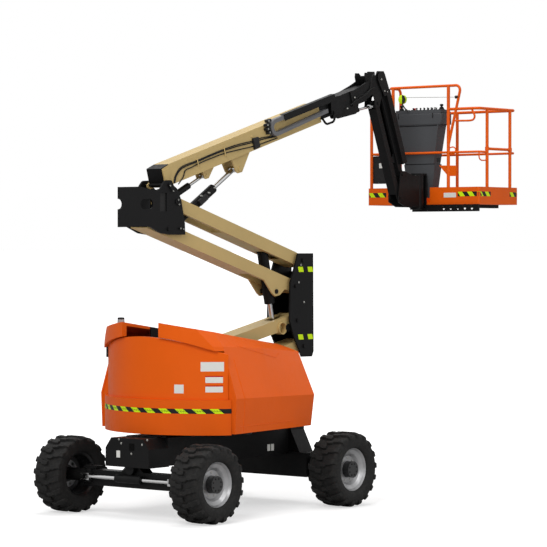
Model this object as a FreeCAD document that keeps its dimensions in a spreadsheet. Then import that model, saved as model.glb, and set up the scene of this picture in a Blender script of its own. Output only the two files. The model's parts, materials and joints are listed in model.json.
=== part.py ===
import FreeCAD, Part
import math
import os
import Sketcher

# Articulating boom lift, millimetres and degrees.
# Origin: on the ground below the slew axis. +Z up, +X toward the drive axle and the platform,
# +Y to the right of someone standing on the platform side and looking at the counterweight.

V = FreeCAD.Vector
doc = FreeCAD.newDocument("boom_lift")


# Driving dimensions

SIZES = (
    # wheels and axles
    ("wheel_base", 2340), ("track", 1965), ("tyre_radius", 420), ("tyre_width", 375),
    ("carcass_radius", 388), ("rim_radius", 228), ("lug_count", 18), ("lug_length", 62),
    ("hub_radius", 92), ("kingpin_spread", 1360), ("kingpin_radius", 28), ("knuckle_height", 150),
    ("axle_low", 312), ("axle_half", 585), ("drive_axle_high", 585), ("drive_axle_width", 300),
    ("steer_beam_high", 492), ("steer_beam_width", 150), ("steer_cylinder_radius", 45),
    ("steer_cylinder_length", 360), ("steer_arm", 125),
    # chassis
    ("frame_low", 560), ("frame_high", 862), ("frame_half_width", 300), ("nose_x", 1330),
    ("nose_half_width", 312), ("pedestal_half_low", 463), ("pedestal_half_high", 335),
    ("bearing_radius", 470), ("bearing_height", 36), ("running_gap", 7),
    # turntable
    ("deck_thickness", 30), ("weight_radius", 1140), ("weight_high", 1275), ("seam_x", 680),
    ("panel_radius", 1105), ("panel_thickness", 24), ("panel_high", 1945), ("crown_radius", 2100),
    ("hood_front_x", 900), ("hood_skin", 24), ("hood_inner_y", 262), ("hood_low", 912),
    ("hood_rear_top", 2105), ("hood_front_top", 1812), ("lip_radius", 1150), ("lip_gap", 12),
    # tower
    ("arm_height", 142), ("arm_width", 240), ("arm_wall", 8), ("plate_thickness", 22),
    ("upright_gap", 30), ("pin_radius", 24),
    ("lower_pivot_x", -800), ("lower_pivot_z", 1610), ("lower_length", 2223), ("lower_tilt", 11.8),
    ("upper_length", 2286), ("upper_tilt", 16.3),
    ("lower_pair_x", 122), ("lower_pair_z", -298), ("upper_pair_x", -130), ("upper_pair_z", -294),
    ("mid_upper_x", 99), ("mid_upper_z", 689), ("fork_length", 760), ("fork_half_gap", 82),
    ("cross_tube_radius", 70), ("cross_back", 243), ("cross_drop", 36),
    ("trunnion_back", 266), ("trunnion_drop", 139),
    ("tower_barrel_radius", 62), ("tower_rod_radius", 32), ("tower_barrel_up", 463),
    ("tower_barrel_down", 140),
    # main boom
    ("boom_pivot_x", -119), ("boom_pivot_z", 183), ("boom_tilt", 16.5), ("boom_height", 230),
    ("boom_width", 210), ("boom_wall", 8), ("cap_reach", 118), ("boom_front", 2850), ("pivot_drop", 30),
    ("fly_height", 186), ("fly_width", 166), ("fly_wall", 6), ("fly_rear", 700), ("fly_front", 3800),
    ("lift_base_x", 197), ("lift_base_z", -469), ("lift_eye_x", 1277), ("lift_eye_z", 201),
    ("level_eye_x", 746), ("level_eye_z", 115), ("slave_back", 630), ("slave_drop", 45),
    ("slave_eye_x", 118), ("slave_eye_z", -205),
    # jib
    ("tip_pin_s", 3904), ("tip_pin_n", 115), ("seat", 0.3), ("jib_length", 1220), ("jib_tilt", 22),
    ("jib_depth", 70), ("jib_half", 78), ("jib_wall", 6), ("jib_top_x", 210), ("jib_top_z", 120),
    ("jib_pair_x", -40), ("jib_pair_z", -285), ("jib_plate", 14), ("jib_gap", 5),
    ("jib_eye_along", 1000), ("jib_eye_drop", 75),
    # hose carrier beside the boom
    ("carrier_s", 1970), ("carrier_n", 133), ("carrier_radius", 98), ("carrier_depth", 45),
    ("carrier_out", 165), ("carrier_front", 2940),
    # platform
    ("rotator_ahead", 390), ("rotator_radius", 88), ("rotator_height", 400), ("platform_ahead", 520),
    ("platform_depth", 840), ("platform_width", 1690), ("rail_radius", 20.5), ("floor_below", 334),
    ("floor_plate", 26), ("toe_below", 26), ("toe_height", 212), ("toe_thickness", 5), ("corner_radius", 25),
    ("rail_mid_up", 612), ("rail_top_up", 1140),
    ("rail_raised_up", 1428), ("support_bar_height", 86), ("gate_post_ahead", 180), ("gate_post_back", 112),
)

sheet = doc.addObject("Spreadsheet::Sheet", "Sizes")
for row, (alias, number) in enumerate(SIZES, start=1):
    sheet.set(f"A{row}", alias)
    sheet.set(f"B{row}", str(number))
    sheet.setAlias(f"B{row}", alias)
doc.recompute()


# Sizes that carry both their number and the expression that binds them to the sheet

class Size:
    def __init__(self, number, text):
        self.number = float(number)
        self.text = text

    def __add__(self, other):
        other = as_size(other)
        return Size(self.number + other.number, f"({self.text} + {other.text})")

    def __sub__(self, other):
        other = as_size(other)
        return Size(self.number - other.number, f"({self.text} - {other.text})")

    def __mul__(self, other):
        other = as_size(other)
        return Size(self.number * other.number, f"({self.text} * {other.text})")

    def __truediv__(self, other):
        other = as_size(other)
        return Size(self.number / other.number, f"({self.text} / {other.text})")

    def __neg__(self):
        return Size(-self.number, f"(-1 * {self.text})")

    def __radd__(self, other):
        return as_size(other) + self

    def __rsub__(self, other):
        return as_size(other) - self

    def __rmul__(self, other):
        return as_size(other) * self

    def __float__(self):
        return self.number


def as_size(value):
    return value if isinstance(value, Size) else Size(value, f"({float(value):.6g})")


def cosine(angle):
    return Size(math.cos(math.radians(angle.number)), f"cos({angle.text})")


def sine(angle):
    return Size(math.sin(math.radians(angle.number)), f"sin({angle.text})")


S = {alias: Size(sheet.get(alias), f"Sizes.{alias}") for alias, number in SIZES}
ZERO = as_size(0)


def bind(thing, field, size):
    size = as_size(size)
    setattr(thing, field, size.number)
    thing.setExpression(field, size.text)


def place(thing, x=0, y=0, z=0, tilt=None):
    """Move a piece to a point; tilt raises its +X end about +Y."""
    spot = [as_size(value) for value in (x, y, z)]
    turn = FreeCAD.Rotation(V(0, -1, 0), as_size(tilt).number) if tilt is not None else FreeCAD.Rotation()
    thing.Placement = FreeCAD.Placement(V(*[value.number for value in spot]), turn)
    for axis, value in zip("xyz", spot):
        thing.setExpression(f"Placement.Base.{axis}", value.text)
    if tilt is not None:
        thing.setExpression("Placement.Rotation.Angle", as_size(tilt).text)
    return thing


# Building blocks

def block(name, x, y, z):
    """A box between two limits on each axis."""
    piece = doc.addObject("Part::Box", name)
    for field, limits in (("Length", x), ("Width", y), ("Height", z)):
        bind(piece, field, as_size(limits[1]) - as_size(limits[0]))
    return place(piece, x[0], y[0], z[0])


TURNS = {"X": (V(0, 1, 0), 90), "Y": (V(1, 0, 0), -90), "Z": (V(0, 0, 1), 0)}


def rod(name, radius, length, start, along="Z"):
    """A cylinder from its start point along an axis."""
    piece = doc.addObject("Part::Cylinder", name)
    bind(piece, "Radius", radius)
    bind(piece, "Height", length)
    place(piece, *start)
    piece.Placement.Rotation = FreeCAD.Rotation(*TURNS[along])
    return piece


def cross_pin(name, radius, half_width, x, z):
    return rod(name, radius, 2 * as_size(half_width), (x, -1 * as_size(half_width), z), "Y")


def pin_ends(name, radius, near, far, x, z):
    """The two ends of a cross pin, outside whatever turns between them."""
    near, far = as_size(near), as_size(far)
    return [rod(f"{name}_a", radius, far - near, (x, near, z), "Y"),
            rod(f"{name}_b", radius, far - near, (x, -far, z), "Y")]


def join(name, pieces):
    piece = doc.addObject("Part::MultiFuse", name)
    piece.Shapes = pieces
    piece.Label = name
    return piece


def carve(name, base, tools):
    piece = doc.addObject("Part::Cut", name)
    piece.Base = base
    piece.Tool = tools[0] if len(tools) == 1 else join(name + "_tools", tools)
    piece.Label = name
    return piece


def plate(name, outline, thickness, middle=0, plane="XZ_Plane"):
    """A flat plate padded about its middle from an outline of (across, up) points."""
    body = doc.addObject("PartDesign::Body", name)
    body.Label = name
    support = [item for item in body.Origin.OriginFeatures if item.Role == plane][0]
    sketch = body.newObject("Sketcher::SketchObject", name + "_outline")
    sketch.AttachmentSupport = [(support, "")]
    sketch.MapMode = "FlatFace"
    corners = [(as_size(across), as_size(up)) for across, up in outline]
    count = len(corners)
    for index, (across, up) in enumerate(corners):
        after = corners[(index + 1) % count]
        start = V(across.number, up.number, 0)
        end = V(after[0].number, after[1].number, 0)
        sketch.addGeometry(Part.LineSegment(start, end), False)
    for index in range(count):
        sketch.addConstraint(Sketcher.Constraint("Coincident", index, 2, (index + 1) % count, 1))
    for index, point in enumerate(corners):
        for kind, axis, size in (("DistanceX", -2, point[0]), ("DistanceY", -1, point[1])):
            if abs(size.number) < 1e-9:
                sketch.addConstraint(Sketcher.Constraint("PointOnObject", index, 1, axis))
            else:
                rule = Sketcher.Constraint(kind, -1, 1, index, 1, size.number)
                sketch.setExpression(f"Constraints[{sketch.addConstraint(rule)}]", size.text)
    pad = body.newObject("PartDesign::Pad", name + "_pad")
    pad.Profile = sketch
    pad.Midplane = True
    bind(pad, "Length", thickness)
    if plane == "XZ_Plane":
        place(body, 0, middle, 0)
    elif plane == "YZ_Plane":
        place(body, middle, 0, 0)
    else:
        place(body, 0, 0, middle)
    return body


def plate_pair(name, outline, thickness, offset):
    """Two like plates either side of the middle plane, with their outer faces at the offset."""
    middle = as_size(offset) - as_size(thickness) / 2
    return [plate(f"{name}_{side}", outline, thickness, sign * middle) for side, sign in (("a", 1),
                                                                                          ("b", -1))]


def solid(name, shape):
    """A piece whose form is worked out here from the sheet's sizes."""
    piece = doc.addObject("Part::Feature", name)
    piece.Label = name
    piece.Shape = shape
    return piece


def straight_tube(start, end, radius):
    start = V(*start)
    way = V(*end) - start
    return Part.makeCylinder(radius, way.Length, start, way)


def tube_path(points, radius, bend):
    """A round tube along straight runs joined by tangent arcs."""
    spots = [V(*point) for point in points]
    pieces = []
    last = spots[0]
    for before, corner, after in zip(spots, spots[1:], spots[2:]):
        back = (before - corner).normalize()
        ahead = (after - corner).normalize()
        half = back.getAngle(ahead) / 2
        reach = bend / math.tan(half)
        start = corner + back * reach
        centre = corner + (back + ahead).normalize() * (bend / math.sin(half))
        pieces.append(straight_tube(last, start, radius))
        disc = Part.Face(Part.Wire([Part.Circle(start, back, radius).toShape()]))
        pieces.append(disc.revolve(centre, ahead.cross(back), 180 - math.degrees(2 * half)))
        last = corner + ahead * reach
    pieces.append(straight_tube(last, spots[-1], radius))
    return pieces[0].fuse(pieces[1:])


NODES = []


def node(label, piece):
    """Name a finished sub-part and put it on the list that is written out."""
    piece.Label = label
    NODES.append(piece)
    return piece


# Wheels: chevron lugs on a carcass, and a dished rim with its hub

WHEEL_DISH = 136  # from the outer sidewall to the inner face of the wheel disc

half_track = S["track"] / 2
half_base = S["wheel_base"] / 2
ground_to_axle = S["tyre_radius"]
hub_face = half_track + S["tyre_width"] / 2 - WHEEL_DISH - S["seat"]


def tyre_shape():
    tip = S["tyre_radius"].number
    base = S["carcass_radius"].number
    half = S["tyre_width"].number / 2
    bead = S["rim_radius"].number
    outline = [V(bead, -half + 70, 0), V(bead + 40, -half + 12, 0), V(base - 60, -half, 0),
               V(base - 8, -half + 22, 0), V(base, -half + 60, 0), V(base, half - 60, 0),
               V(base - 8, half - 22, 0), V(base - 60, half, 0), V(bead + 40, half - 12, 0),
               V(bead, half - 70, 0)]
    face = Part.Face(Part.makePolygon(outline + outline[:1]))
    carcass = face.revolve(V(0, 0, 0), V(0, 1, 0), 360)
    count = int(S["lug_count"].number)
    length = S["lug_length"].number
    half_chord = length / 2
    slant = 46
    top = math.sqrt(tip ** 2 - (half_chord + slant / 2) ** 2)
    root = base - 14
    lugs = []
    for index in range(count):
        for side in (-1, 1):
            shoulder = half - 2
            corners = [(-half_chord - slant, -8), (half_chord - slant, -8),
                       (half_chord, shoulder), (-half_chord, shoulder)]
            low = [V(root, y * side, x + slant / 2) for x, y in corners]
            face = Part.Face(Part.makePolygon(low + low[:1]))
            lug = face.extrude(V(top - root, 0, 0))
            angle = 360 / count * (index + (0.5 if side > 0 else 0))
            lug.rotate(V(0, 0, 0), V(0, 1, 0), angle)
            lugs.append(lug)
    whole = carcass.fuse(lugs)
    return whole.removeSplitter()


def rim_shape():
    bead = S["rim_radius"].number
    half = S["tyre_width"].number / 2
    hub = S["hub_radius"].number
    seat = bead - 0.4
    outline = [V(0, -half + 118, 0), V(150, -half + 118, 0), V(178, -half + 88, 0),
               V(seat - 10, -half + 66, 0), V(seat + 14, -half + 36, 0), V(seat + 14, -half + 46, 0),
               V(seat, -half + 66, 0), V(seat, half - 66, 0), V(seat + 14, half - 46, 0),
               V(seat + 14, half - 36, 0), V(seat - 10, half - 60, 0), V(seat - 22, half - 110, 0),
               V(196, -half + 150, 0), V(150, -half + WHEEL_DISH, 0), V(0, -half + WHEEL_DISH, 0)]
    face = Part.Face(Part.makePolygon(outline + outline[:1]))
    dish = face.revolve(V(0, 0, 0), V(0, 1, 0), 360)
    cap = Part.makeCylinder(hub, 84, V(0, -half + 36, 0), V(0, 1, 0))
    return dish.fuse(cap).removeSplitter()


TYRE = tyre_shape()
RIM = rim_shape()

# name, side along X (+1 drive axle), side along Y
WHEELS = (("drive_left", 1, -1), ("drive_right", 1, 1), ("steer_left", -1, -1), ("steer_right", -1, 1))

for wheel, end, side in WHEELS:
    for kind, form in (("tyre", TYRE), ("rim", RIM)):
        piece = node(f"{kind}_{wheel}", solid(f"{kind}_{wheel}", form.copy()))
        turn = FreeCAD.Rotation() if side < 0 else FreeCAD.Rotation(V(0, 0, 1), 180)
        spot = V(end * half_base.number, side * half_track.number, ground_to_axle.number)
        piece.Placement = FreeCAD.Placement(spot, turn)


# Chassis: frame with nose box and drive pedestal, two axles, slew bearing

frame_top = S["frame_high"]
nose_low = S["frame_low"] - 8
drive_face = half_base - S["drive_axle_width"] / 2


def chassis_frame():
    width = (-S["frame_half_width"], S["frame_half_width"])
    spine = block("frame_spine", (-S["nose_x"] + 320, drive_face - S["seat"]), width, (S["frame_low"],
                                                                                       frame_top))
    shelf = block("frame_shelf", (drive_face - 120, half_base + 60), width, (S["drive_axle_high"],
                                                                             frame_top))
    nose = plate("frame_nose", [
        (-S["nose_half_width"], nose_low), (S["nose_half_width"], nose_low),
        (S["nose_half_width"], frame_top - 110), (S["nose_half_width"] - 82, frame_top),
        (-S["nose_half_width"] + 82, frame_top), (-S["nose_half_width"], frame_top - 110)],
        330, -S["nose_x"] + 165, "YZ_Plane")
    pedestal = plate("frame_pedestal", [
        (-S["pedestal_half_low"], S["drive_axle_high"]), (S["pedestal_half_low"], S["drive_axle_high"]),
        (S["pedestal_half_high"], frame_top - 30), (S["pedestal_half_high"], frame_top),
        (-S["pedestal_half_high"], frame_top), (-S["pedestal_half_high"], frame_top - 30)],
        S["drive_axle_width"] - 60, half_base, "YZ_Plane")
    seat = rod("frame_bearing_seat", S["bearing_radius"] + 20, 30, (0, 0, frame_top - 22))
    trunnion = rod("frame_axle_trunnion", 62, 250, (-half_base - 125, 0, S["frame_low"] - 30), "X")
    return join("chassis_frame", [spine, shelf, nose, pedestal, seat, trunnion])


def drive_axle():
    housing = block("drive_housing", (drive_face, drive_face + S["drive_axle_width"]),
                    (-S["axle_half"], S["axle_half"]), (S["axle_low"], S["drive_axle_high"]))
    hub = cross_pin("drive_hubs", 118, hub_face, half_base, ground_to_axle)
    return join("drive_axle", [housing, hub])


kingpin_y = S["kingpin_spread"] / 2
knuckle_low = ground_to_axle - S["knuckle_height"] / 2
knuckle_high = ground_to_axle + S["knuckle_height"] / 2


def steer_axle():
    beam = block("steer_beam", (-half_base - S["steer_beam_width"] / 2,
                                -half_base + S["steer_beam_width"] / 2),
                 (-S["axle_half"], S["axle_half"]), (S["axle_low"] + 10, S["steer_beam_high"]))
    saddle = plate("steer_saddle", [
        (-170, S["steer_beam_high"] - 10), (170, S["steer_beam_high"] - 10),
        (96, nose_low - S["seat"]), (-96, nose_low - S["seat"])], S["steer_beam_width"], -half_base,
        "YZ_Plane")
    bore = rod("steer_saddle_bore", 62 + S["seat"], 400, (-half_base - 200, 0, S["frame_low"] - 30), "X")
    pieces = [beam, saddle]
    for side, sign in (("left", -1), ("right", 1)):
        for level, (low, high) in (("low", (knuckle_low - 34, knuckle_low - 2)),
                                   ("high", (knuckle_high + 2, knuckle_high + 34))):
            near = sign * (S["axle_half"] - 40)
            far = sign * (kingpin_y + 45)
            span = (near, far) if sign > 0 else (far, near)
            pieces.append(block(f"steer_ear_{side}_{level}", (-half_base - 60, -half_base + 60), span, (low,
                high)))
        pieces.append(rod(f"kingpin_{side}", S["kingpin_radius"], S["knuckle_height"] + 90,
                          (-half_base, sign * kingpin_y, knuckle_low - 45)))
    return carve("steer_axle", join("steer_axle_body", pieces), [bore])


def knuckle(name, sign):
    """Block round the kingpin, spindle to the rim, and an arm for the steering rod."""
    core = rod(f"{name}_core", 62, S["knuckle_height"], (-half_base, sign * kingpin_y, knuckle_low))
    near = kingpin_y if sign > 0 else -hub_face
    spindle = rod(f"{name}_spindle", 70, hub_face - kingpin_y, (-half_base, near, ground_to_axle), "Y")
    reach = (-half_base - S["steer_arm"] - 24, -half_base)
    arm = block(f"{name}_arm", reach, (sign * kingpin_y - 22, sign * kingpin_y + 22),
                (ground_to_axle - 16, ground_to_axle + 16))
    bore = rod(f"{name}_bore", S["kingpin_radius"] + 0.3, S["knuckle_height"] + 20,
               (-half_base, sign * kingpin_y, knuckle_low - 10))
    eye = rod(f"{name}_eye", 12, 200, (-half_base - S["steer_arm"], sign * kingpin_y, ground_to_axle - 100))
    return carve(name, join(f"{name}_body", [core, spindle, arm]), [bore, eye])


steer_rod_x = -half_base - S["steer_arm"]


def steering_cylinder():
    half = S["steer_cylinder_length"] / 2
    barrel = cross_pin("steer_barrel", S["steer_cylinder_radius"], half, steer_rod_x, ground_to_axle)
    foot = block("steer_barrel_foot", (steer_rod_x, -half_base - S["steer_beam_width"] / 2),
                 (-half + 40, half - 40), (ground_to_axle - 28, ground_to_axle + 28))
    bore = cross_pin("steer_barrel_bore", 20.3, half + 10, steer_rod_x, ground_to_axle)
    return carve("steering_cylinder", join("steering_cylinder_body", [barrel, foot]), [bore])


def steering_rod():
    """One rod through the barrel with a clevis at each end, forked over the knuckle arms."""
    reach = kingpin_y - 60
    pieces = [cross_pin("steer_rod_bar", 20, reach, steer_rod_x, ground_to_axle)]
    for side, sign in (("left", -1), ("right", 1)):
        near = sign * (reach - 50)
        far = sign * reach
        span = (near, far) if sign > 0 else (far, near)
        pieces.append(block(f"steer_clevis_{side}", (steer_rod_x - 26, steer_rod_x + 26), span,
                            (ground_to_axle - 38, ground_to_axle + 38)))
        for level, (low, high) in (("low", (-38, -20)), ("high", (20, 38))):
            far_eye = sign * (kingpin_y + 24)
            fork = (sign * (reach - 4), far_eye) if sign > 0 else (far_eye, sign * (reach - 4))
            pieces.append(block(f"steer_fork_{side}_{level}", (steer_rod_x - 22, steer_rod_x + 22), fork,
                                (ground_to_axle + low, ground_to_axle + high)))
    return join("steering_rod", pieces)


def slew_bearing():
    ring = rod("bearing_ring", S["bearing_radius"], S["bearing_height"] - S["running_gap"], (0, 0,
                                                                                             frame_top + 8))
    hole = rod("bearing_hole", S["bearing_radius"] - 90, 200, (0, 0, frame_top - 60))
    return carve("slew_bearing", ring, [hole])


node("chassis_frame", chassis_frame())
node("drive_axle", drive_axle())
node("steer_axle", steer_axle())
node("knuckle_left", knuckle("knuckle_left", -1))
node("knuckle_right", knuckle("knuckle_right", 1))
node("steering_cylinder", steering_cylinder())
node("steering_rod", steering_rod())
node("slew_bearing", slew_bearing())


# Turntable: deck with tower uprights, counterweight, rear panel, hoods and what they cover

HOOD_REAR = 1170  # how far the hoods would run behind the slew axis before their rear is rounded

deck_low = frame_top + 8 + S["bearing_height"] - S["running_gap"] + S["seat"]
deck_high = deck_low + S["deck_thickness"]
weight_top = S["weight_high"] + S["seat"]
weight_face = -S["seam_x"] + S["seat"]
upright_half = S["arm_width"] / 2 + S["upright_gap"] + S["plate_thickness"]
hood_slope = (S["hood_front_top"] - S["hood_rear_top"]) / (S["hood_front_x"] + HOOD_REAR)


def hood_top(x):
    """Height of the hoods' inner top edge."""
    return S["hood_rear_top"] + (as_size(x) + HOOD_REAR) * hood_slope


def turntable_base():
    """Deck, the two uprights that hold the tower's arms, and the bulkheads inside the hoods."""
    deck_front = S["hood_front_x"] - 60
    deck = plate("turntable_deck", [
        (weight_face, -820), (deck_front, -650), (deck_front, 650), (weight_face, 820)],
        S["deck_thickness"], deck_low + S["deck_thickness"] / 2, "XY_Plane")
    back = S["lower_pivot_x"] - 205
    outline = [
        (back, weight_top), (back, S["lower_pivot_z"] - 60),
        (S["lower_pivot_x"] - 60, S["lower_pivot_z"] + 72), (S["lower_pivot_x"] + 60,
                                                             S["lower_pivot_z"] + 72),
        (S["lower_pivot_x"] + S["lower_pair_x"] + 90, S["lower_pivot_z"] + S["lower_pair_z"]),
        (300, deck_high - 2), (weight_face, deck_high - 2), (weight_face, weight_top)]
    uprights = plate_pair("turntable_upright", outline, S["plate_thickness"], upright_half)
    rear = S["lip_gap"] - S["seam_x"]
    bulkhead = [
        (rear, weight_top), (rear, hood_top(rear) - 2), (deck_front, hood_top(deck_front) - 2),
        (deck_front, deck_high - 2), (weight_face, deck_high - 2), (weight_face, weight_top)]
    bulkheads = plate_pair("turntable_bulkhead", bulkhead, 12, S["hood_inner_y"] - S["seat"])
    pins = [cross_pin("lower_arm_pin", S["pin_radius"], upright_half + 14, S["lower_pivot_x"],
                      S["lower_pivot_z"]),
            cross_pin("lower_link_pin", S["pin_radius"], upright_half + 14,
                      S["lower_pivot_x"] + S["lower_pair_x"], S["lower_pivot_z"] + S["lower_pair_z"])]
    return join("turntable_base", [deck] + uprights + bulkheads + pins)


def counterweight():
    drum = rod("weight_drum", S["weight_radius"], S["weight_high"] - deck_low, (0, 0, deck_low))
    ahead = block("weight_front_cut", (-S["seam_x"], 2000), (-2000, 2000), (0, 3000))
    pocket = block("weight_pocket", (-S["seam_x"] - 112, -S["seam_x"] + 10), (-upright_half + 18,
                                                                              upright_half - 18),
                   (S["lower_pivot_z"] + S["lower_pair_z"] - 108, S["weight_high"] + 10))
    return carve("counterweight", drum, [ahead, pocket])


def rear_panel():
    outer = rod("panel_outer", S["panel_radius"], 900, (0, 0, weight_top))
    inner = rod("panel_inner", S["panel_radius"] - S["panel_thickness"], 1000, (0, 0, S["weight_high"]))
    ahead = block("panel_front_cut", (-S["seam_x"], 2000), (-2000, 2000), (0, 3000))
    ring = carve("panel_ring", outer, [inner, ahead])
    crown = rod("panel_crown", S["crown_radius"], 2400, (-2000, 0, S["panel_high"] - S["crown_radius"]), "X")
    piece = doc.addObject("Part::MultiCommon", "rear_panel")
    piece.Shapes = [ring, crown]
    return piece


# Hood sections from rear to front: X, then how far out the side stands low, at its fullest
# and at its shoulder, the height of the fullest line and of the shoulder
HOOD_SECTIONS = (
    (-1170, 1010, 1020, 760, 1300, 1860),
    (-680, 968, 985, 800, 1290, 1840),
    (100, 858, 880, 700, 1275, 1800),
    (900, 744, 792, 560, 1260, 1735),
)


def hood_outline(section, inset):
    x, low, full, shoulder, full_z, shoulder_z = section
    top = hood_top(x).number
    inner = S["hood_inner_y"].number
    inner = inner - 60 if inset else inner
    bottom = S["hood_low"].number - (80 if inset else 0)
    points = [(inner, bottom), (low - inset, bottom), (full - inset, full_z), (shoulder - inset,
                                                                               shoulder_z - inset * 0.6),
              (shoulder - inset - 130, top - 40 - inset), (inner, top - inset)]
    return points


def hood_shape(side):
    def loft(inset, grow):
        wires = []
        for section in HOOD_SECTIONS:
            x = section[0]
            if inset and section is HOOD_SECTIONS[0]:
                x = x - grow
            if section is HOOD_SECTIONS[-1]:
                x = S["hood_front_x"].number - inset
            corners = [V(x, side * y, z) for y, z in hood_outline(section, inset)]
            wires.append(Part.makePolygon(corners + corners[:1]))
        return Part.makeLoft(wires, True, True)
    skin = S["hood_skin"].number
    shell = loft(0, 0).cut(loft(skin, 40))
    seam = S["seam_x"].number
    gap = S["lip_gap"].number
    rear = Part.makeBox(2000, 4000, 4000, V(-2000 - seam, -2000, -500))
    crown_low = Part.makeCylinder(S["crown_radius"].number + gap, 2000,
                                  V(-2000 - seam, 0, S["panel_high"].number - S["crown_radius"].number),
                                  V(1, 0, 0))
    rim = Part.makeCylinder(S["lip_radius"].number, 4000, V(0, 0, -500), V(0, 0, 1))
    rim_inside = Part.makeCylinder(S["lip_radius"].number - 70, 4000, V(0, 0, -500), V(0, 0, 1))
    outside = rear.cut(rim)
    whole = loft(0, 0)
    roll = whole.common(rim.cut(rim_inside)).common(rear)
    inward = S["panel_radius"].number * math.cos(math.asin(seam / S["panel_radius"].number)) - 40
    wall = Part.makeBox(skin, 2000, 4000, V(8 - seam, side * inward - (2000 if side < 0 else 0), -500))
    back = whole.common(wall)
    return shell.fuse([roll, back]).cut(crown_low).cut(outside).removeSplitter()


def engine_block():
    return block("engine_block", (-350, 600), (320, 660), (deck_high + S["seat"], 1560))


def tank_block():
    return block("tank_block", (-350, 600), (-660, -320), (deck_high + S["seat"], 1500))


def beacon(hood):
    """A lamp whose foot follows the hood's top."""
    foot = Part.makeCylinder(46, 47, V(-770, 600, 2002)).cut(hood.translated(V(0, 0, S["seat"].number)))
    lens = Part.makeCylinder(38, 82, V(-770, 600, 2049))
    return foot.fuse(lens).removeSplitter()


node("turntable_base", turntable_base())
node("counterweight", counterweight())
node("rear_panel", rear_panel())
node("hood_left", solid("hood_left", hood_shape(-1)))
node("hood_right", solid("hood_right", hood_shape(1)))
node("beacon", solid("beacon", beacon(hood_shape(1))))
node("engine_block", engine_block())
node("tank_block", tank_block())


# Tower: two parallel pairs of arms on three uprights, and the cylinder between them

lower_x = S["lower_pivot_x"]
lower_z = S["lower_pivot_z"]
lower_pair_x = lower_x + S["lower_pair_x"]
lower_pair_z = lower_z + S["lower_pair_z"]
mid_x = lower_x + S["lower_length"] * cosine(S["lower_tilt"])
mid_z = lower_z + S["lower_length"] * sine(S["lower_tilt"])
mid_pair_x = mid_x + S["lower_pair_x"]
mid_pair_z = mid_z + S["lower_pair_z"]
upper_x = mid_x + S["mid_upper_x"]
upper_z = mid_z + S["mid_upper_z"]
upper_pair_x = upper_x + S["upper_pair_x"]
upper_pair_z = upper_z + S["upper_pair_z"]
top_x = upper_x - S["upper_length"] * cosine(S["upper_tilt"])
top_z = upper_z + S["upper_length"] * sine(S["upper_tilt"])
top_pair_x = top_x + S["upper_pair_x"]
top_pair_z = top_z + S["upper_pair_z"]

arm_half = S["arm_height"] / 2
bore_radius = S["pin_radius"] + 0.3


def box_beam(name, start, end, height, width, wall, middle=0):
    """A hollow beam along +X, open at both ends."""
    outer = block(f"{name}_outer", (start, end), (-width / 2, width / 2), (middle - height / 2,
                                                                           middle + height / 2))
    inner = block(f"{name}_inner", (start - 1, end + 1), (-width / 2 + wall, width / 2 - wall),
                  (middle - height / 2 + wall, middle + height / 2 - wall))
    return carve(f"{name}_tube", outer, [inner])


def tower_arm(name, length, extras=(), cuts=(), tail=55):
    """A box arm with a boss and a bore at each pin, pins at 0 and at its length along +X."""
    beam = box_beam(name, -as_size(tail), length + 55, S["arm_height"], S["arm_width"], S["arm_wall"])
    bosses = [cross_pin(f"{name}_boss_{index}", arm_half - 12, S["arm_width"] / 2 + S["upright_gap"] - 2, x,
                        0)
              for index, x in enumerate((ZERO, length))]
    bores = [cross_pin(f"{name}_bore_{index}", bore_radius, 400, x, 0) for index,
             x in enumerate((ZERO, length))]
    return carve(name, join(f"{name}_body", [beam] + bosses + list(extras)), bores + list(cuts))


def lower_arm():
    """Its cross tube carries the eye of the tower cylinder, between two cheeks."""
    along = S["lower_length"] - S["cross_back"]
    drop = -S["cross_drop"]
    tube = cross_pin("lower_cross_tube", S["cross_tube_radius"], upright_half - S["plate_thickness"] - 5,
                     along, drop)
    ends = [rod(f"lower_cross_end_{index}", S["cross_tube_radius"] - 8, 200, (along, y, drop), "Y")
            for index, y in enumerate((-280, 80))]
    eye_room = block("lower_eye_room", (along - 88, along + 80), (-62, 62), (-200, 200))
    rod_room = block("lower_rod_room", (along - 60, S["lower_length"] - 33), (-40, 40), (-40, 200))
    piece = carve("lower_arm_piece", tower_arm("lower_arm_solid", S["lower_length"], [tube]),
                  [eye_room, rod_room] + ends)
    return place(piece, lower_x, 0, lower_z, S["lower_tilt"])


def lower_link():
    return place(tower_arm("lower_link", S["lower_length"]), lower_pair_x, 0, lower_pair_z, S["lower_tilt"])


def mid_upright():
    outline = [
        (mid_x + 15, mid_z + 770), (mid_x + 291, mid_z + 770), (mid_x + 298, mid_z - 361),
        (mid_x + 269, mid_z - 423), (mid_x + 83, mid_z - 421), (mid_x - 70, mid_z - 170),
        (mid_x - 137, mid_z - 7), (mid_x - 130, mid_z + 430), (mid_x - 70, mid_z + 562)]
    plates = plate_pair("mid_plate", outline, S["plate_thickness"], upright_half)
    pins = [cross_pin(f"mid_pin_{index}", S["pin_radius"], upright_half + 14, x, z) for index, (x,
        z) in enumerate((
        (mid_x, mid_z), (mid_pair_x, mid_pair_z), (upper_x, upper_z), (upper_pair_x, upper_pair_z)))]
    back = block("mid_back", (mid_x + 252, mid_x + 276), (-upright_half + 4, upright_half - 4),
                 (mid_z - 300, mid_z + 560))
    return join("mid_upright", plates + pins + [back])


def inner_webs(name, start, end, half_gap):
    """Walls that close the box cheeks on either side of a fork."""
    high = arm_half - 1
    return [block(f"{name}_{side}", (start, end), (low, low + S["arm_wall"]), (-high, high))
            for side, low in (("a", half_gap), ("b", -half_gap - S["arm_wall"]))]


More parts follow.
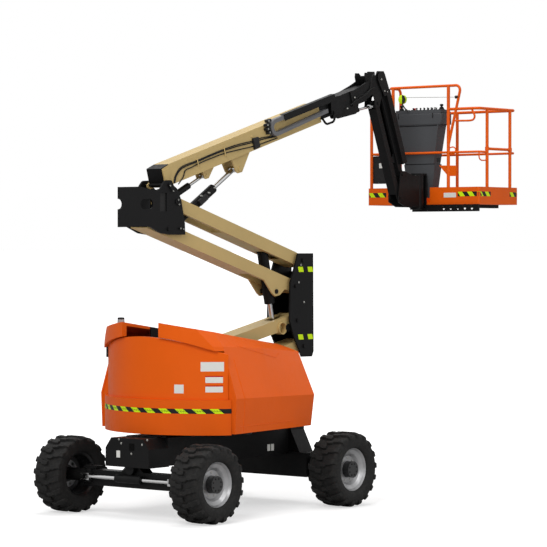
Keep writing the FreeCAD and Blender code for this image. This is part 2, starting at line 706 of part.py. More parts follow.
def upper_arm():
    """Forked at its top end round the boom's cylinders, with a window above and one below."""
    length = S["upper_length"]
    gap = S["fork_half_gap"]
    webs = inner_webs("upper_arm_web", -55, 930, gap)
    fork = block("upper_arm_fork", (-100, 930), (-gap, gap), (-200, 200))
    window = block("upper_arm_window", (900, 1360), (-gap - 20, gap + 20), (0, 200))
    under = block("upper_arm_under", (length - 600, length - 280), (-gap + 6, gap - 6), (-200, 0))
    piece = tower_arm("upper_arm", length, webs, [fork, window, under])
    return place(piece, top_x, 0, top_z, -S["upper_tilt"])


def upper_link():
    """Forked beside the mid upright, with lugs for the tower cylinder, and open above at its top end."""
    length = S["upper_length"]
    gap = S["fork_half_gap"] - 4
    webs = inner_webs("upper_link_web", length - S["fork_length"], length - 70, gap)
    fork = block("upper_link_fork", (length - S["fork_length"], length - 70), (-gap, gap), (-200, 200))
    above = block("upper_link_window", (-300, 580), (-S["fork_half_gap"], S["fork_half_gap"]), (-58, 200))
    along = length - S["trunnion_back"]
    drop = -S["trunnion_drop"]
    lug = [(along - 260, -arm_half + 10), (along - 60, drop - 40), (along, drop - 58), (along + 80,
                                                                                        drop - 20),
           (along + 150, -arm_half + 10)]
    lugs = plate_pair("upper_link_lug", lug, 20, S["arm_width"] / 2)
    bore = cross_pin("upper_link_trunnion_bore", 26 + S["seat"], 400, along, drop)
    piece = tower_arm("upper_link", length, webs + lugs, [fork, above, bore], 280)
    return place(piece, top_pair_x, 0, top_pair_z, -S["upper_tilt"])


boom_x = top_x + S["boom_pivot_x"]
boom_z = top_z + S["boom_pivot_z"]


def upper_upright():
    """A long near plate, a shorter far one, inner plates for the boom's lift cylinder and the pins."""
    front = [
        (top_x - 256, top_z - 340), (top_x - 120, top_z - 355), (top_x + 143, top_z - 355),
        (top_x + 136, top_z - 231), (top_x + 105, top_z - 100), (top_x + 79, top_z + 11),
        (top_x + 48, top_z + 79), (top_x + 5, top_z + 147), (top_x - 45, top_z + 175),
        (top_x - 76, top_z + 228), (top_x - 96, top_z + 234), (top_x - 168, top_z + 231),
        (top_x - 190, top_z + 222), (top_x - 231, top_z + 180), (top_x - 271, top_z + 125)]
    near_rear = [
        (top_x - 431, top_z + 130), (top_x - 581, top_z + 155), (top_x - 917, top_z + 145),
        (top_x - 917, top_z - 279), (top_x - 431, top_z - 270)]
    far_end = top_x - 438
    far_rear = [(far_end, top_z + 130), (far_end, top_z - 270)]
    thick = S["plate_thickness"]
    middle = upright_half - thick / 2
    near = plate("top_near", front + near_rear, thick, -middle)
    far = plate("top_far", front + far_rear, thick, middle)
    notch = cross_pin("top_notch", 55, 400, top_x - 911, top_z - 35)
    ends = [rod(f"top_oval_{index}", 55, 400, (x, -400, top_z - 30), "Y")
            for index, x in enumerate((top_x - 526, top_x - 436))]
    oval = block("top_oval_middle", (top_x - 526, top_x - 436), (-400, 0), (top_z - 85, top_z + 25))
    slot = block("top_slot", (top_x - 271, top_x - 161), (-400, 0), (top_z - 105, top_z + 95))
    inner = [
        (top_x - 172, top_z - 262), (top_x - 172, top_z - 318), (top_x - 150, top_z - 342),
        (top_x - 110, top_z - 344), (top_x + 100, top_z - 334), (top_x + 124, top_z - 310),
        (top_x + 124, top_z - 262), (top_x + 40, top_z + 30), (top_x + 20, top_z + 44),
        (top_x - 20, top_z + 44), (top_x - 44, top_z + 20)]
    cradle = plate_pair("top_cradle", inner, 14, S["fork_half_gap"] - 6)
    pins = [cross_pin(f"top_pin_{index}", S["pin_radius"], upright_half + 12, x, z) for index, (x,
        z) in enumerate((
        (top_x, top_z), (top_pair_x, top_pair_z), (boom_x, boom_z)))]
    pins.append(cross_pin("top_lift_pin", S["pin_radius"], S["fork_half_gap"] - 6,
                          boom_x + S["lift_base_x"], boom_z + S["lift_base_z"]))
    across = (-upright_half + 4, upright_half - 4)
    web = block("top_web", (far_end, far_end + 12), across, (top_z - 262, top_z + 110))
    carved = carve("top_near_cut", near, [notch, oval, slot] + ends)
    return join("upper_upright", [carved, far] + cradle + pins + [web])


node("lower_arm", lower_arm())
node("lower_link", lower_link())
node("mid_upright", mid_upright())
node("upper_arm", upper_arm())
node("upper_link", upper_link())
node("upper_upright", upper_upright())


def cylinder_pair(name, base, eye, barrel_size, rod_size, pins, half_widths):
    """A barrel pinned at its base and a rod that slides in it to the eye; both lie along +X when made."""
    run_x = eye[0] - base[0]
    run_z = eye[1] - base[1]
    length = math.hypot(run_x.number, run_z.number)
    tilt = math.degrees(math.atan2(run_z.number, run_x.number))
    barrel_radius, barrel_length = barrel_size
    rod_radius, rod_length = rod_size
    base_pin, eye_pin = pins
    half_width, pin_half = half_widths
    foot_radius = as_size(base_pin) + 16
    outer = rod(f"{name}_tube", barrel_radius, barrel_length - 30, (30, 0, 0), "X")
    foot = cross_pin(f"{name}_foot", foot_radius, half_width, 0, 0)
    neck = rod(f"{name}_neck", barrel_radius * 0.7, 40, (0, 0, 0), "X")
    inside = rod(f"{name}_inside", rod_radius + S["seat"], barrel_length + 20, (foot_radius + 4, 0, 0), "X")
    foot_bore = cross_pin(f"{name}_foot_bore", base_pin + S["seat"], 200, 0, 0)
    barrel = carve(f"{name}_barrel", join(f"{name}_barrel_body", [outer, foot, neck]), [inside, foot_bore])
    bar = rod(f"{name}_bar", rod_radius, rod_length, (length - rod_length, 0, 0), "X")
    eye_ring = cross_pin(f"{name}_eye", as_size(eye_pin) + 12, half_width, length, 0)
    eye_bar = cross_pin(f"{name}_eye_pin", eye_pin, pin_half, length, 0)
    piston = join(f"{name}_rod", [bar, eye_ring, eye_bar])
    for piece in (barrel, piston):
        place(piece, base[0], 0, base[1], tilt)
    return barrel, piston


def tower_cylinder():
    """Trunnion in the upper link's lugs, rod down to the lower arm's cross tube."""
    along = S["upper_length"] - S["trunnion_back"]
    turn = -S["upper_tilt"]
    head_x = top_pair_x + along * cosine(turn) + S["trunnion_drop"] * sine(turn)
    head_z = top_pair_z + along * sine(turn) - S["trunnion_drop"] * cosine(turn)
    foot_along = S["lower_length"] - S["cross_back"]
    foot_x = lower_x + foot_along * cosine(S["lower_tilt"]) + S["cross_drop"] * sine(S["lower_tilt"])
    foot_z = lower_z + foot_along * sine(S["lower_tilt"]) - S["cross_drop"] * cosine(S["lower_tilt"])
    length = math.hypot(foot_x.number - head_x.number, foot_z.number - head_z.number)
    tilt = math.degrees(math.atan2(foot_z.number - head_z.number, foot_x.number - head_x.number))
    up = S["tower_barrel_up"]
    outer = rod("tower_tube", S["tower_barrel_radius"], up + S["tower_barrel_down"], (-up, 0, 0), "X")
    trunnion = cross_pin("tower_trunnion", 26, 132, 0, 0)
    collar = rod("tower_collar", S["tower_barrel_radius"] + 6, 80, (-40, 0, 0), "X")
    inside = rod("tower_inside", S["tower_rod_radius"] + S["seat"], up + 400, (-up + 12, 0, 0), "X")
    barrel = carve("tower_cylinder_barrel", join("tower_barrel_body", [outer, trunnion, collar]), [inside])
    rod_start = -326
    bar = rod("tower_bar", S["tower_rod_radius"], length - rod_start, (rod_start, 0, 0), "X")
    eye = cross_pin("tower_eye", 56, 56, length, 0)
    piston = join("tower_cylinder_rod", [bar, eye])
    for piece in (barrel, piston):
        place(piece, head_x, 0, head_z, tilt)
    return barrel, piston


tower_barrel, tower_piston = tower_cylinder()
node("tower_cylinder_barrel", tower_barrel)
node("tower_cylinder_rod", tower_piston)


# Main boom and fly boom, modelled level with the boom pivot at 0 and then tilted

boom_top = S["boom_height"] - S["pivot_drop"]
boom_middle = boom_top - S["boom_height"] / 2
tilt_cos = cosine(S["boom_tilt"])
tilt_sin = sine(S["boom_tilt"])


def in_boom(x, z):
    """Turn an offset from the boom pivot into distances along and square to the boom."""
    return x * tilt_cos + z * tilt_sin, z * tilt_cos - x * tilt_sin


def main_boom():
    tube = box_beam("main_boom", 0, S["boom_front"], S["boom_height"], S["boom_width"],
                    S["boom_wall"], boom_middle)
    bevel = plate("boom_bevel", [(-10, boom_top - 24), (0, boom_top - 24), (S["cap_reach"], boom_top - 8),
                                 (S["cap_reach"], boom_top + 40), (-10, boom_top + 40)], 400)
    ear = [(-46, -14), (-18, -44), (34, -44), (110, boom_top - 90), (110, boom_top - 40), (2, boom_top - 40),
           (2, 30), (-46, 14)]
    ears = plate_pair("boom_ear", ear, 14, S["boom_width"] / 2 + 14)
    level_s, level_n = in_boom(S["level_eye_x"], S["level_eye_z"])
    lift_s, lift_n = in_boom(S["lift_eye_x"], S["lift_eye_z"])
    under = boom_top - S["boom_height"]
    level_lug = plate_pair("boom_level_lug", [
        (level_s - 60, under + 6), (level_s - 38, level_n - 20), (level_s - 22, level_n - 32),
        (level_s + 26, level_n - 34), (level_s + 44, level_n - 20), (level_s + 165, under + 6)], 14, 62)
    lift_lug = plate_pair("boom_lift_lug", [
        (lift_s - 100, under + 6), (lift_s - 56, lift_n - 14), (lift_s - 32, lift_n - 40),
        (lift_s + 40, lift_n - 44), (lift_s + 66, lift_n - 20), (lift_s + 240, under + 6)], 18, 86)
    bore = cross_pin("boom_pivot_bore", bore_radius, 400, 0, 0)
    pins = pin_ends("boom_level_pin", 16, 50, 70, level_s, level_n)
    pins += pin_ends("boom_lift_pin", S["pin_radius"], 70, 98, lift_s, lift_n)
    room = S["boom_height"] / 2 - S["boom_wall"]
    pad_face = S["fly_height"] / 2 + S["seat"]
    along = (S["boom_front"] - 130, S["boom_front"] - 4)
    pads = [block("boom_pad_high", along, (-60, 60), (boom_middle + pad_face, boom_middle + room + 1)),
            block("boom_pad_low", along, (-60, 60), (boom_middle - room - 1, boom_middle - pad_face))]
    side_face = S["fly_width"] / 2 + S["seat"]
    side_room = S["boom_width"] / 2 - S["boom_wall"] + 1
    for side, span in (("a", (side_face, side_room)), ("b", (-side_room, -side_face))):
        pads.append(block(f"boom_pad_{side}", along, span, (boom_middle - 40, boom_middle + 40)))
    body = join("main_boom_body", [tube] + ears + level_lug + lift_lug + pins + pads)
    return place(carve("main_boom", body, [bore, bevel]), boom_x, 0, boom_z, S["boom_tilt"])


def boom_cap():
    """A lid over the boom's rear end, folded forward over its bevelled top edge."""
    back = -S["seat"]
    reach = S["cap_reach"]
    cap = plate("boom_cap_side", [
        (back - 12, 26), (back, 26), (back, boom_top - 24 + S["seat"]), (reach - S["seat"],
                                                                         boom_top - 8 + S["seat"]),
        (reach - S["seat"], boom_top), (back - 12, boom_top - 15)], S["boom_width"])
    return place(cap, boom_x, 0, boom_z, S["boom_tilt"])


def hose_carrier():
    """The carrier's bend and its lower run on the boom's side, with the end of the upper run."""
    middle = S["carrier_n"]
    inside = S["carrier_radius"] - S["carrier_depth"]
    start = S["carrier_s"]
    near = -S["carrier_out"]
    deep = S["carrier_out"] - S["boom_width"] / 2 - S["seat"]
    drum = rod("carrier_drum", S["carrier_radius"], deep, (start, near, middle), "Y")
    room = rod("carrier_room", inside, 200, (start, near - 10, middle), "Y")
    ahead = block("carrier_ahead", (start, start + 300), (-400, 0), (middle - 300, middle + 300))
    across = (near, near + deep)
    upper = block("carrier_upper", (start - 1, start + 230), across, (middle + inside,
                                                                      middle + S["carrier_radius"]))
    run = plate("carrier_run", [
        (start - 1, middle - S["carrier_radius"]), (S["carrier_front"], middle - S["carrier_radius"] + 26),
        (S["carrier_front"], middle - inside + 26), (start - 1, middle - inside)], deep, near + deep / 2)
    bend = carve("carrier_bend", drum, [room, ahead])
    piece = join("hose_carrier", [bend, upper, run])
    return place(piece, boom_x, 0, boom_z, S["boom_tilt"])


def carrier_cover():
    """A hood over the carrier that the fly boom carries, with its bracket and a loop of hose."""
    top = S["carrier_n"] + S["carrier_radius"] + 15
    outer = -S["carrier_out"] - 12
    inner = -S["boom_width"] / 2 - 6
    start = S["carrier_s"] + 150
    end = S["fly_rear"] + 2400
    shell = block("cover_shell", (start, end), (outer, inner), (top - 76, top))
    room = block("cover_room", (start - 10, end - 60), (outer + 6, 0), (top - 200, top - 6))
    side = -S["fly_width"] / 2 - S["seat"]
    bracket = block("cover_bracket", (S["boom_front"] + 40, end), (inner - 4, side), (top - 100, top - 62))
    face = plate("cover_face", [
        (S["boom_front"] + 225, top - 40), (S["boom_front"] + 195, 19), (S["boom_front"] + 389, -29),
        (S["boom_front"] + 365, top - 52)], 40, side - 20)
    body = carve("cover_body", shell, [room])
    loop = tube_path([(2843, -132, 20), (2900, -132, -70), (3060, -132, -75), (3100, -132, 40)], 13, 60)
    hose = solid("cover_hose", loop)
    piece = join("carrier_cover", [body, bracket, face, hose])
    return place(piece, boom_x, 0, boom_z, S["boom_tilt"])


slave_base_s = S["tip_pin_s"] - S["slave_back"]
slave_base_n = boom_middle - S["fly_height"] / 2 - S["slave_drop"]


def fly_boom():
    """Inner boom with the cheeks of the tip pin and the bracket of the platform's level cylinder."""
    middle = boom_middle
    half = S["fly_height"] / 2
    tube = box_beam("fly_boom", S["fly_rear"], S["fly_front"], S["fly_height"], S["fly_width"],
                    S["fly_wall"], middle)
    top = middle + half
    low = middle - half
    front = S["fly_front"]
    cheek = [(front - 300, low + 4), (front + 40, low + 30), (S["tip_pin_s"] + 46, S["tip_pin_n"] - 46),
             (S["tip_pin_s"] + 46, S["tip_pin_n"] + 60), (S["tip_pin_s"] - 10, top + 40), (front - 60,
                                                                                           top + 16),
             (front - 300, top - 8)]
    cheeks = plate_pair("fly_cheek", cheek, 14, S["fly_width"] / 2 + 14)
    bracket = [(slave_base_s - 70, low + 3), (slave_base_s - 50, slave_base_n - 20),
               (slave_base_s - 30, slave_base_n - 32), (slave_base_s + 316, slave_base_n - 62),
               (slave_base_s + 346, slave_base_n - 52), (slave_base_s + 372, slave_base_n - 20),
               (slave_base_s + 410, low + 3)]
    brackets = plate_pair("fly_bracket", bracket, 14, 50)
    pins = [cross_pin("fly_tip_pin", S["pin_radius"], S["fly_width"] / 2 + 22, S["tip_pin_s"],
                      S["tip_pin_n"]),
            cross_pin("fly_slave_pin", 16, 50, slave_base_s, slave_base_n)]
    rear = (S["fly_rear"] + 4, S["fly_rear"] + 90)
    pad_end = S["boom_height"] / 2 - S["boom_wall"] - S["seat"]
    pads = [block("fly_pad_high", rear, (-60, 60), (top - 1, middle + pad_end)),
            block("fly_pad_low", rear, (-60, 60), (middle - pad_end, low + 1))]
    piece = join("fly_boom", [tube] + cheeks + brackets + pins + pads)
    return place(piece, boom_x, 0, boom_z, S["boom_tilt"])


node("main_boom", main_boom())
node("boom_rear_cap", boom_cap())
node("hose_carrier", hose_carrier())
node("carrier_cover", carrier_cover())
node("fly_boom", fly_boom())

lift_base = (boom_x + S["lift_base_x"], boom_z + S["lift_base_z"])
lift_eye = (boom_x + S["lift_eye_x"], boom_z + S["lift_eye_z"])
lift_barrel, lift_rod = cylinder_pair("lift_cylinder", lift_base, lift_eye, (52, 850), (26, 887),
                                      (S["pin_radius"], S["pin_radius"]), (44, 62))
node("lift_cylinder_barrel", lift_barrel)
node("lift_cylinder_rod", lift_rod)

level_base = (top_x, top_z)
level_eye = (boom_x + S["level_eye_x"], boom_z + S["level_eye_z"])
level_barrel, level_rod = cylinder_pair("level_cylinder", level_base, level_eye, (36, 430), (18, 505),
                                        (S["pin_radius"], 16), (30, 42))
node("level_cylinder_barrel", level_barrel)
node("level_cylinder_rod", level_rod)


# Jib: a level base at the fly tip, two parallel members, their cylinder and the head

tip_x = boom_x + S["tip_pin_s"] * tilt_cos - S["tip_pin_n"] * tilt_sin
tip_z = boom_z + S["tip_pin_s"] * tilt_sin + S["tip_pin_n"] * tilt_cos
jib_x = tip_x + S["jib_top_x"]
jib_z = tip_z + S["jib_top_z"]
jib_pair_x = jib_x + S["jib_pair_x"]
jib_pair_z = jib_z + S["jib_pair_z"]
jib_down = S["jib_tilt"] - 90
head_x = jib_x + S["jib_length"] * cosine(jib_down)
head_z = jib_z + S["jib_length"] * sine(jib_down)
head_pair_x = head_x + S["jib_pair_x"]
head_pair_z = head_z + S["jib_pair_z"]
rotator_x = head_x + S["rotator_ahead"]
rotator_low = head_z - S["rotator_height"]


pin_small = 18
jib_plate_inner = S["jib_half"] - S["jib_plate"]
member_half = jib_plate_inner - S["jib_gap"]
cheek_inner = member_half - 13


def jib_base():
    """Level plates on the fly tip's pin, with the pins of both members and of the level cylinder."""
    outline = [
        (tip_x - 44, tip_z - 30), (jib_x - 304, jib_z + 20), (jib_x - 296, jib_z + 66), (jib_x - 235,
                                                                                         jib_z + 68),
        (jib_x - 196, jib_z + 38), (jib_x - 80, jib_z + 48), (jib_x - 52, jib_z + 98), (jib_x + 70,
                                                                                        jib_z + 104),
        (jib_x + 82, jib_z + 88), (jib_x + 82, jib_z - 20), (jib_pair_x + 44, jib_pair_z),
        (jib_pair_x + 30, jib_pair_z - 40),
        (tip_x + S["slave_eye_x"] + 10, tip_z + S["slave_eye_z"] - 26),
        (tip_x + S["slave_eye_x"] - 18, tip_z + S["slave_eye_z"] - 20),
        (tip_x + 104, tip_z - 100), (tip_x + 40, tip_z - 60), (tip_x - 20, tip_z - 52)]
    plates = plate_pair("jib_base_plate", outline, S["jib_plate"], S["jib_half"])
    hub = cross_pin("jib_base_hub", 42, S["jib_half"], tip_x, tip_z)
    bore = cross_pin("jib_base_bore", bore_radius, 400, tip_x, tip_z)
    half = S["jib_half"] + 8
    pins = [cross_pin("jib_pin_upper", pin_small, half, jib_x, jib_z),
            cross_pin("jib_pin_lower", pin_small, half, jib_pair_x, jib_pair_z)]
    pins += pin_ends("jib_pin_level", 14, jib_plate_inner + 1, half, tip_x + S["slave_eye_x"],
                     tip_z + S["slave_eye_z"])
    return join("jib_base", [carve("jib_base_body", join("jib_base_parts", plates + [hub]), [bore])] + pins)


def jib_arm():
    """Box member with a pair of lugs below for the cylinder's eye."""
    length = S["jib_length"]
    half = S["jib_depth"] / 2
    along = S["jib_eye_along"]
    drop = -S["jib_eye_drop"]
    beam = box_beam("jib_arm", 0, length, S["jib_depth"], 2 * member_half, S["jib_wall"])
    bosses = [cross_pin(f"jib_arm_boss_{index}", half - 3, member_half, at, 0) for index,
              at in enumerate((ZERO, length))]
    lug = [(along - 66, 3 - half), (along - 24, drop - 20), (along + 24, drop - 20), (along + 66, 3 - half)]
    lug_outer = cheek_inner - 5
    lug_inner = lug_outer - 9
    lugs = plate_pair("jib_arm_lug", lug, lug_outer - lug_inner, lug_outer)
    lugs += pin_ends("jib_arm_lug_pin", 14, 22, lug_outer, along, drop)
    bores = [cross_pin(f"jib_arm_bore_{index}", pin_small + S["seat"], 400, at, 0)
             for index, at in enumerate((ZERO, length))]
    groove = block("jib_arm_groove", (250, along + 20), (-lug_inner, lug_inner), (-60, -10))
    guard = block("jib_arm_guard", (160, length - 120), (-100, member_half), (half - 3, 116))
    hollow = block("jib_arm_guard_room", (150, length - 110), (-96, member_half + 10), (half + 3, 112))
    shield = carve("jib_arm_shield", guard, [hollow])
    parts = [carve("jib_arm_open", beam, [groove]), shield] + bosses + lugs
    piece = carve("jib_arm_piece", join("jib_arm_body", parts), bores)
    return place(piece, jib_x, 0, jib_z, jib_down)


def jib_link():
    """Channel open toward the arm, so that the cylinder can lie in it."""
    length = S["jib_length"]
    outer = block("jib_link_outer", (0, length), (-member_half, member_half), (-44, 30))
    inner = block("jib_link_inner", (-60, length + 60), (-cheek_inner, cheek_inner), (-36, 200))
    ends = [block(f"jib_link_end_{index}", (at - 60, at + 60), (-cheek_inner, cheek_inner), (-60, 60))
            for index, at in enumerate((ZERO, length))]
    bosses = [cross_pin(f"jib_link_boss_{index}", 30, member_half, at, 0) for index,
              at in enumerate((ZERO, length))]
    bores = [cross_pin(f"jib_link_bore_{index}", pin_small + S["seat"], 400, at, 0)
             for index, at in enumerate((ZERO, length))]
    piece = carve("jib_link_piece", join("jib_link_body", [outer] + bosses),
                  [inner] + ends + bores)
    return place(piece, jib_pair_x, 0, jib_pair_z, jib_down)


def jib_head():
    """Plates with the members' pins and a saddle that fits round the rotator."""
    front = rotator_x - 45
    low = rotator_low + 6
    outline = [
        (head_x - 40, head_z + 40), (head_x + 40, head_z + 44), (head_x + 200, head_z - 6), (front,
                                                                                             head_z - 6),
        (front, low), (head_x + 60, low), (head_pair_x - 44, head_pair_z - 50), (head_pair_x - 46,
                                                                                 head_pair_z + 30)]
    plates = plate_pair("jib_head_plate", outline, S["jib_plate"], S["jib_half"])
    saddle = block("head_saddle", (head_x + 240, front), (-jib_plate_inner - 1, jib_plate_inner + 1), (low,
        head_z - 6))
    half = S["jib_half"] + 8
    pins = [cross_pin("head_pin_upper", pin_small, half, head_x, head_z)]
    for side, near in (("a", cheek_inner - 2), ("b", -half)):
        pins.append(rod(f"head_stub_{side}", pin_small, half - cheek_inner + 2, (head_pair_x, near,
                                                                                 head_pair_z), "Y"))
    rest = rod("head_rotator_seat", S["rotator_radius"] + S["seat"], 900, (rotator_x, 0, rotator_low - 200))
    return carve("jib_head", join("jib_head_body", plates + [saddle] + pins), [rest])


node("jib_base", jib_base())
node("jib_arm", jib_arm())
node("jib_link", jib_link())

slave_base = (boom_x + slave_base_s * tilt_cos - slave_base_n * tilt_sin,
              boom_z + slave_base_s * tilt_sin + slave_base_n * tilt_cos)
slave_eye = (tip_x + S["slave_eye_x"], tip_z + S["slave_eye_z"])
slave_barrel, slave_rod = cylinder_pair("slave_cylinder", slave_base, slave_eye, (30, 430), (15, 358), (16,
    14), (26, 44))
node("slave_cylinder_barrel", slave_barrel)
node("slave_cylinder_rod", slave_rod)

jib_eye = (jib_x + S["jib_eye_along"] * cosine(jib_down) + S["jib_eye_drop"] * sine(jib_down),
           jib_z + S["jib_eye_along"] * sine(jib_down) - S["jib_eye_drop"] * cosine(jib_down))
jib_barrel, jib_rod = cylinder_pair("jib_cylinder", (jib_pair_x, jib_pair_z), jib_eye, (30, 690), (15, 627),
                                    (pin_small, 14), (19, 19))
node("jib_cylinder_barrel", jib_barrel)
node("jib_cylinder_rod", jib_rod)


# Platform: turned by the rotator, with its support, floor, toe boards, rails, gate bar and console

floor_z = head_z - S["floor_below"]
near_x = head_x + S["platform_ahead"]
far_x = near_x + S["platform_depth"]
side_y = S["platform_width"] / 2
rail_in = S["rail_radius"] + S["toe_thickness"] + S["seat"]
rail_near = near_x + rail_in
rail_far = far_x - rail_in
rail_side = side_y - rail_in
post_radius = S["rail_radius"] - 1
top_rail_radius = post_radius - 1.5
corner_post = 8
gate_rise = 40
sleeve_half = 22
gate_near = rail_near + S["gate_post_ahead"]
gate_far = rail_far - S["gate_post_back"]


node("jib_head", jib_head())


def rotator():
    return rod("rotator_body", S["rotator_radius"], S["rotator_height"], (rotator_x, 0, rotator_low))


def platform_support():
    """Clamp plates above and below the rotator, a back plate, the bored bar and two floor arms."""
    reach = S["rotator_radius"] + 14
    pieces = []
    for level, low in (("high", head_z + 0.5), ("low", rotator_low - 22.5)):
        pieces.append(rod(f"clamp_{level}", S["rotator_radius"] - 10, 22, (rotator_x, 0, low)))
        pieces.append(block(f"clamp_arm_{level}", (rotator_x, near_x - 9), (-70, 70), (low, low + 22)))
    back = block("support_back", (rotator_x + reach, near_x - 8), (-70, 70), (rotator_low - 22.5,
                                                                              head_z + 22.5))
    bar_top = floor_z - S["floor_plate"] - S["seat"]
    bar = block("support_bar", (near_x - 38, near_x - 8), (-side_y - 12, 130),
                (bar_top - S["support_bar_height"], bar_top))
    pieces += [back, bar]
    for index, y in enumerate((-560, 0)):
        pieces.append(block(f"support_arm_{index}", (near_x - 9, far_x - 60), (y - 40, y + 40),
                            (bar_top - 40, bar_top)))
    holes = [rod(f"support_hole_{index}", 25, 100, (near_x - 70, -337 - 104.5 * index, bar_top - 43),
                 "X") for index in range(5)]
    return carve("platform_support", join("platform_support_body", pieces), holes)


def rounded_box(x, y, z, radius):
    """A block with its four upright edges rounded."""
    body = Part.makeBox(x[1] - x[0], y[1] - y[0], z[1] - z[0], V(x[0], y[0], z[0]))
    upright = [edge for edge in body.Edges if abs(edge.tangentAt(edge.FirstParameter).z) > 0.9]
    return body.makeFillet(radius, upright)


def platform_floor():
    edge = (S["toe_thickness"] + S["seat"]).number
    side = side_y.number - edge
    high = floor_z.number
    return rounded_box((near_x.number + edge, far_x.number - edge), (-side, side),
                       (high - S["floor_plate"].number, high), S["corner_radius"].number - edge)


def toe_boards():
    """A band round the floor, open on the rotator's side."""
    low = floor_z.number - S["toe_below"].number
    high = low + S["toe_height"].number
    skin = S["toe_thickness"].number
    near, far, side, radius = near_x.number, far_x.number, side_y.number, S["corner_radius"].number
    outer = rounded_box((near, far), (-side, side), (low, high), radius)
    inner = rounded_box((near + skin, far - skin), (-side + skin, side - skin), (low - 1, high + 1),
                        radius - skin)
    gap = Part.makeBox(20, 440, high + 1 - floor_z.number, V(near - 10, -110, floor_z.number))
    return outer.cut(inner).cut(gap)


def rail_shape():
    """Top rail open at the console, mid rail open at the gate, the raised hoop and the posts."""
    post_r = post_radius.number
    top_r = top_rail_radius.number
    mid_r = mid_rail_radius.number
    near, far, side = rail_near.number, rail_far.number, rail_side.number
    floor = floor_z.number
    top = floor + S["rail_top_up"].number
    mid = floor + S["rail_mid_up"].number
    raised = floor + S["rail_raised_up"].number
    halfway = (near + far) / 2 + 110
    foot = floor + S["seat"].number
    bend = 60
    hoop_left, hoop_right = 470, -370
    pieces = [
        tube_path([(halfway, side, top), (near, side, top), (near, hoop_left, top)], top_r, bend),
        tube_path([(near, hoop_right, top), (near, -side, top), (halfway, -side, top)], top_r, bend),
        tube_path([(halfway, side, top), (far, side, top), (far, -side, top), (halfway, -side, top)], top_r,
                  bend),
        tube_path([(gate_near.number, -side, mid), (near, -side, mid), (near, side, mid), (far, side, mid),
                   (far, -side, mid), (gate_far.number, -side, mid)], mid_r, bend),
        tube_path([(near + 240, hoop_left + 62, foot), (near + 240, hoop_left + 62, raised),
                   (near, hoop_left + 62, raised), (near, hoop_right - 190, raised),
                   (near, hoop_right - 6, mid + 110)], top_r - 1, 60),
        straight_tube((near, hoop_right, foot), (near, hoop_right, raised), post_r + 1),
        straight_tube((near, hoop_left, foot), (near, hoop_left, raised), post_r + 0.5),
    ]
    posts = ((near + corner_post, side - corner_post), (far - corner_post, side - corner_post), (far, 50),
             (gate_far.number, -side), (gate_near.number, -side), (near + 420, side))
    pieces += [straight_tube((x, y, foot), (x, y, top), post_r) for x, y in posts]
    return pieces[0].fuse(pieces[1:])


def gate_bar():
    mid = floor_z + S["rail_mid_up"] + gate_rise
    sleeve = S["rail_radius"] + 5
    bar = rod("gate_tube", S["rail_radius"] - 3, gate_far - gate_near, (gate_near, -rail_side, mid), "X")
    sleeves = [rod(f"gate_sleeve_{index}", sleeve, 2 * sleeve_half, (x, -rail_side,
                                                                            mid - sleeve_half))
               for index, x in enumerate((gate_near, gate_far))]
    bores = [rod(f"gate_bore_{index}", post_radius + S["seat"], 200, (x, -rail_side, mid - 100))
             for index, x in enumerate((gate_near, gate_far))]
    return carve("gate_bar", join("gate_bar_body", [bar] + sleeves), bores)


mid_rail_radius = top_rail_radius - 3.5
console_near = rail_near + mid_rail_radius + S["seat"]
console_low = floor_z + S["rail_top_up"] - 184


def console():
    across = (-238, 440)
    body = block("console_body", (console_near, console_near + 195), across, (console_low,
                                                                              console_low + 190))
    lip = block("console_lip", (console_near, console_near + 205), (across[0] - 10, across[1] + 10),
                (console_low + 150, console_low + 168))
    return join("console", [body, lip])


def console_cover():
    """A housing that tapers down from the console, in two lofted parts."""
    def ring(reach, y0, y1, z):
        near = console_near.number
        corners = [V(near, y0, z), V(near + reach, y0, z), V(near + reach, y1, z), V(near, y1, z)]
        return Part.makePolygon(corners + corners[:1])
    low = floor_z.number + 60
    seam = low + 415
    high = console_low.number - S["seat"].number
    upper = Part.makeLoft([ring(175, -205, 400, high), ring(140, -140, 300, seam)], True, True)
    lower = Part.makeLoft([ring(152, -152, 312, seam), ring(120, -110, 240, low)], True, True)
    return upper.fuse(lower).removeSplitter()


def manual_box():
    end = rail_side - corner_post - post_radius + 0.9
    return block("manual_box", (console_near, console_near + 70), (end - 220, end), (floor_z + 245,
                                                                                    floor_z + 590))


node("rotator", rotator())
node("platform_support", platform_support())
node("platform_floor", solid("platform_floor", platform_floor()))
node("toe_boards", solid("toe_boards", toe_boards()))
node("platform_rails", solid("platform_rails", rail_shape()))
node("gate_bar", gate_bar())
node("console", console())
node("console_cover", solid("console_cover", console_cover()))
node("manual_box", manual_box())


# Build, check and write

doc.recompute()
faults = [thing.Name for thing in doc.Objects if "Invalid" in thing.State or "Error" in thing.State]
for piece in NODES:
    if piece.Shape.isNull() or not piece.Shape.isValid() or not piece.Shape.Solids:
        faults.append(piece.Label)
if faults:
    raise RuntimeError(f"failed: {faults}")
os.makedirs("parts", exist_ok=True)
for piece in NODES:
    piece.Shape.exportStep(f"parts/{piece.Label}.step")
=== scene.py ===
import json
import math

import bpy
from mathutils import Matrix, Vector
from mathutils.bvhtree import BVHTree


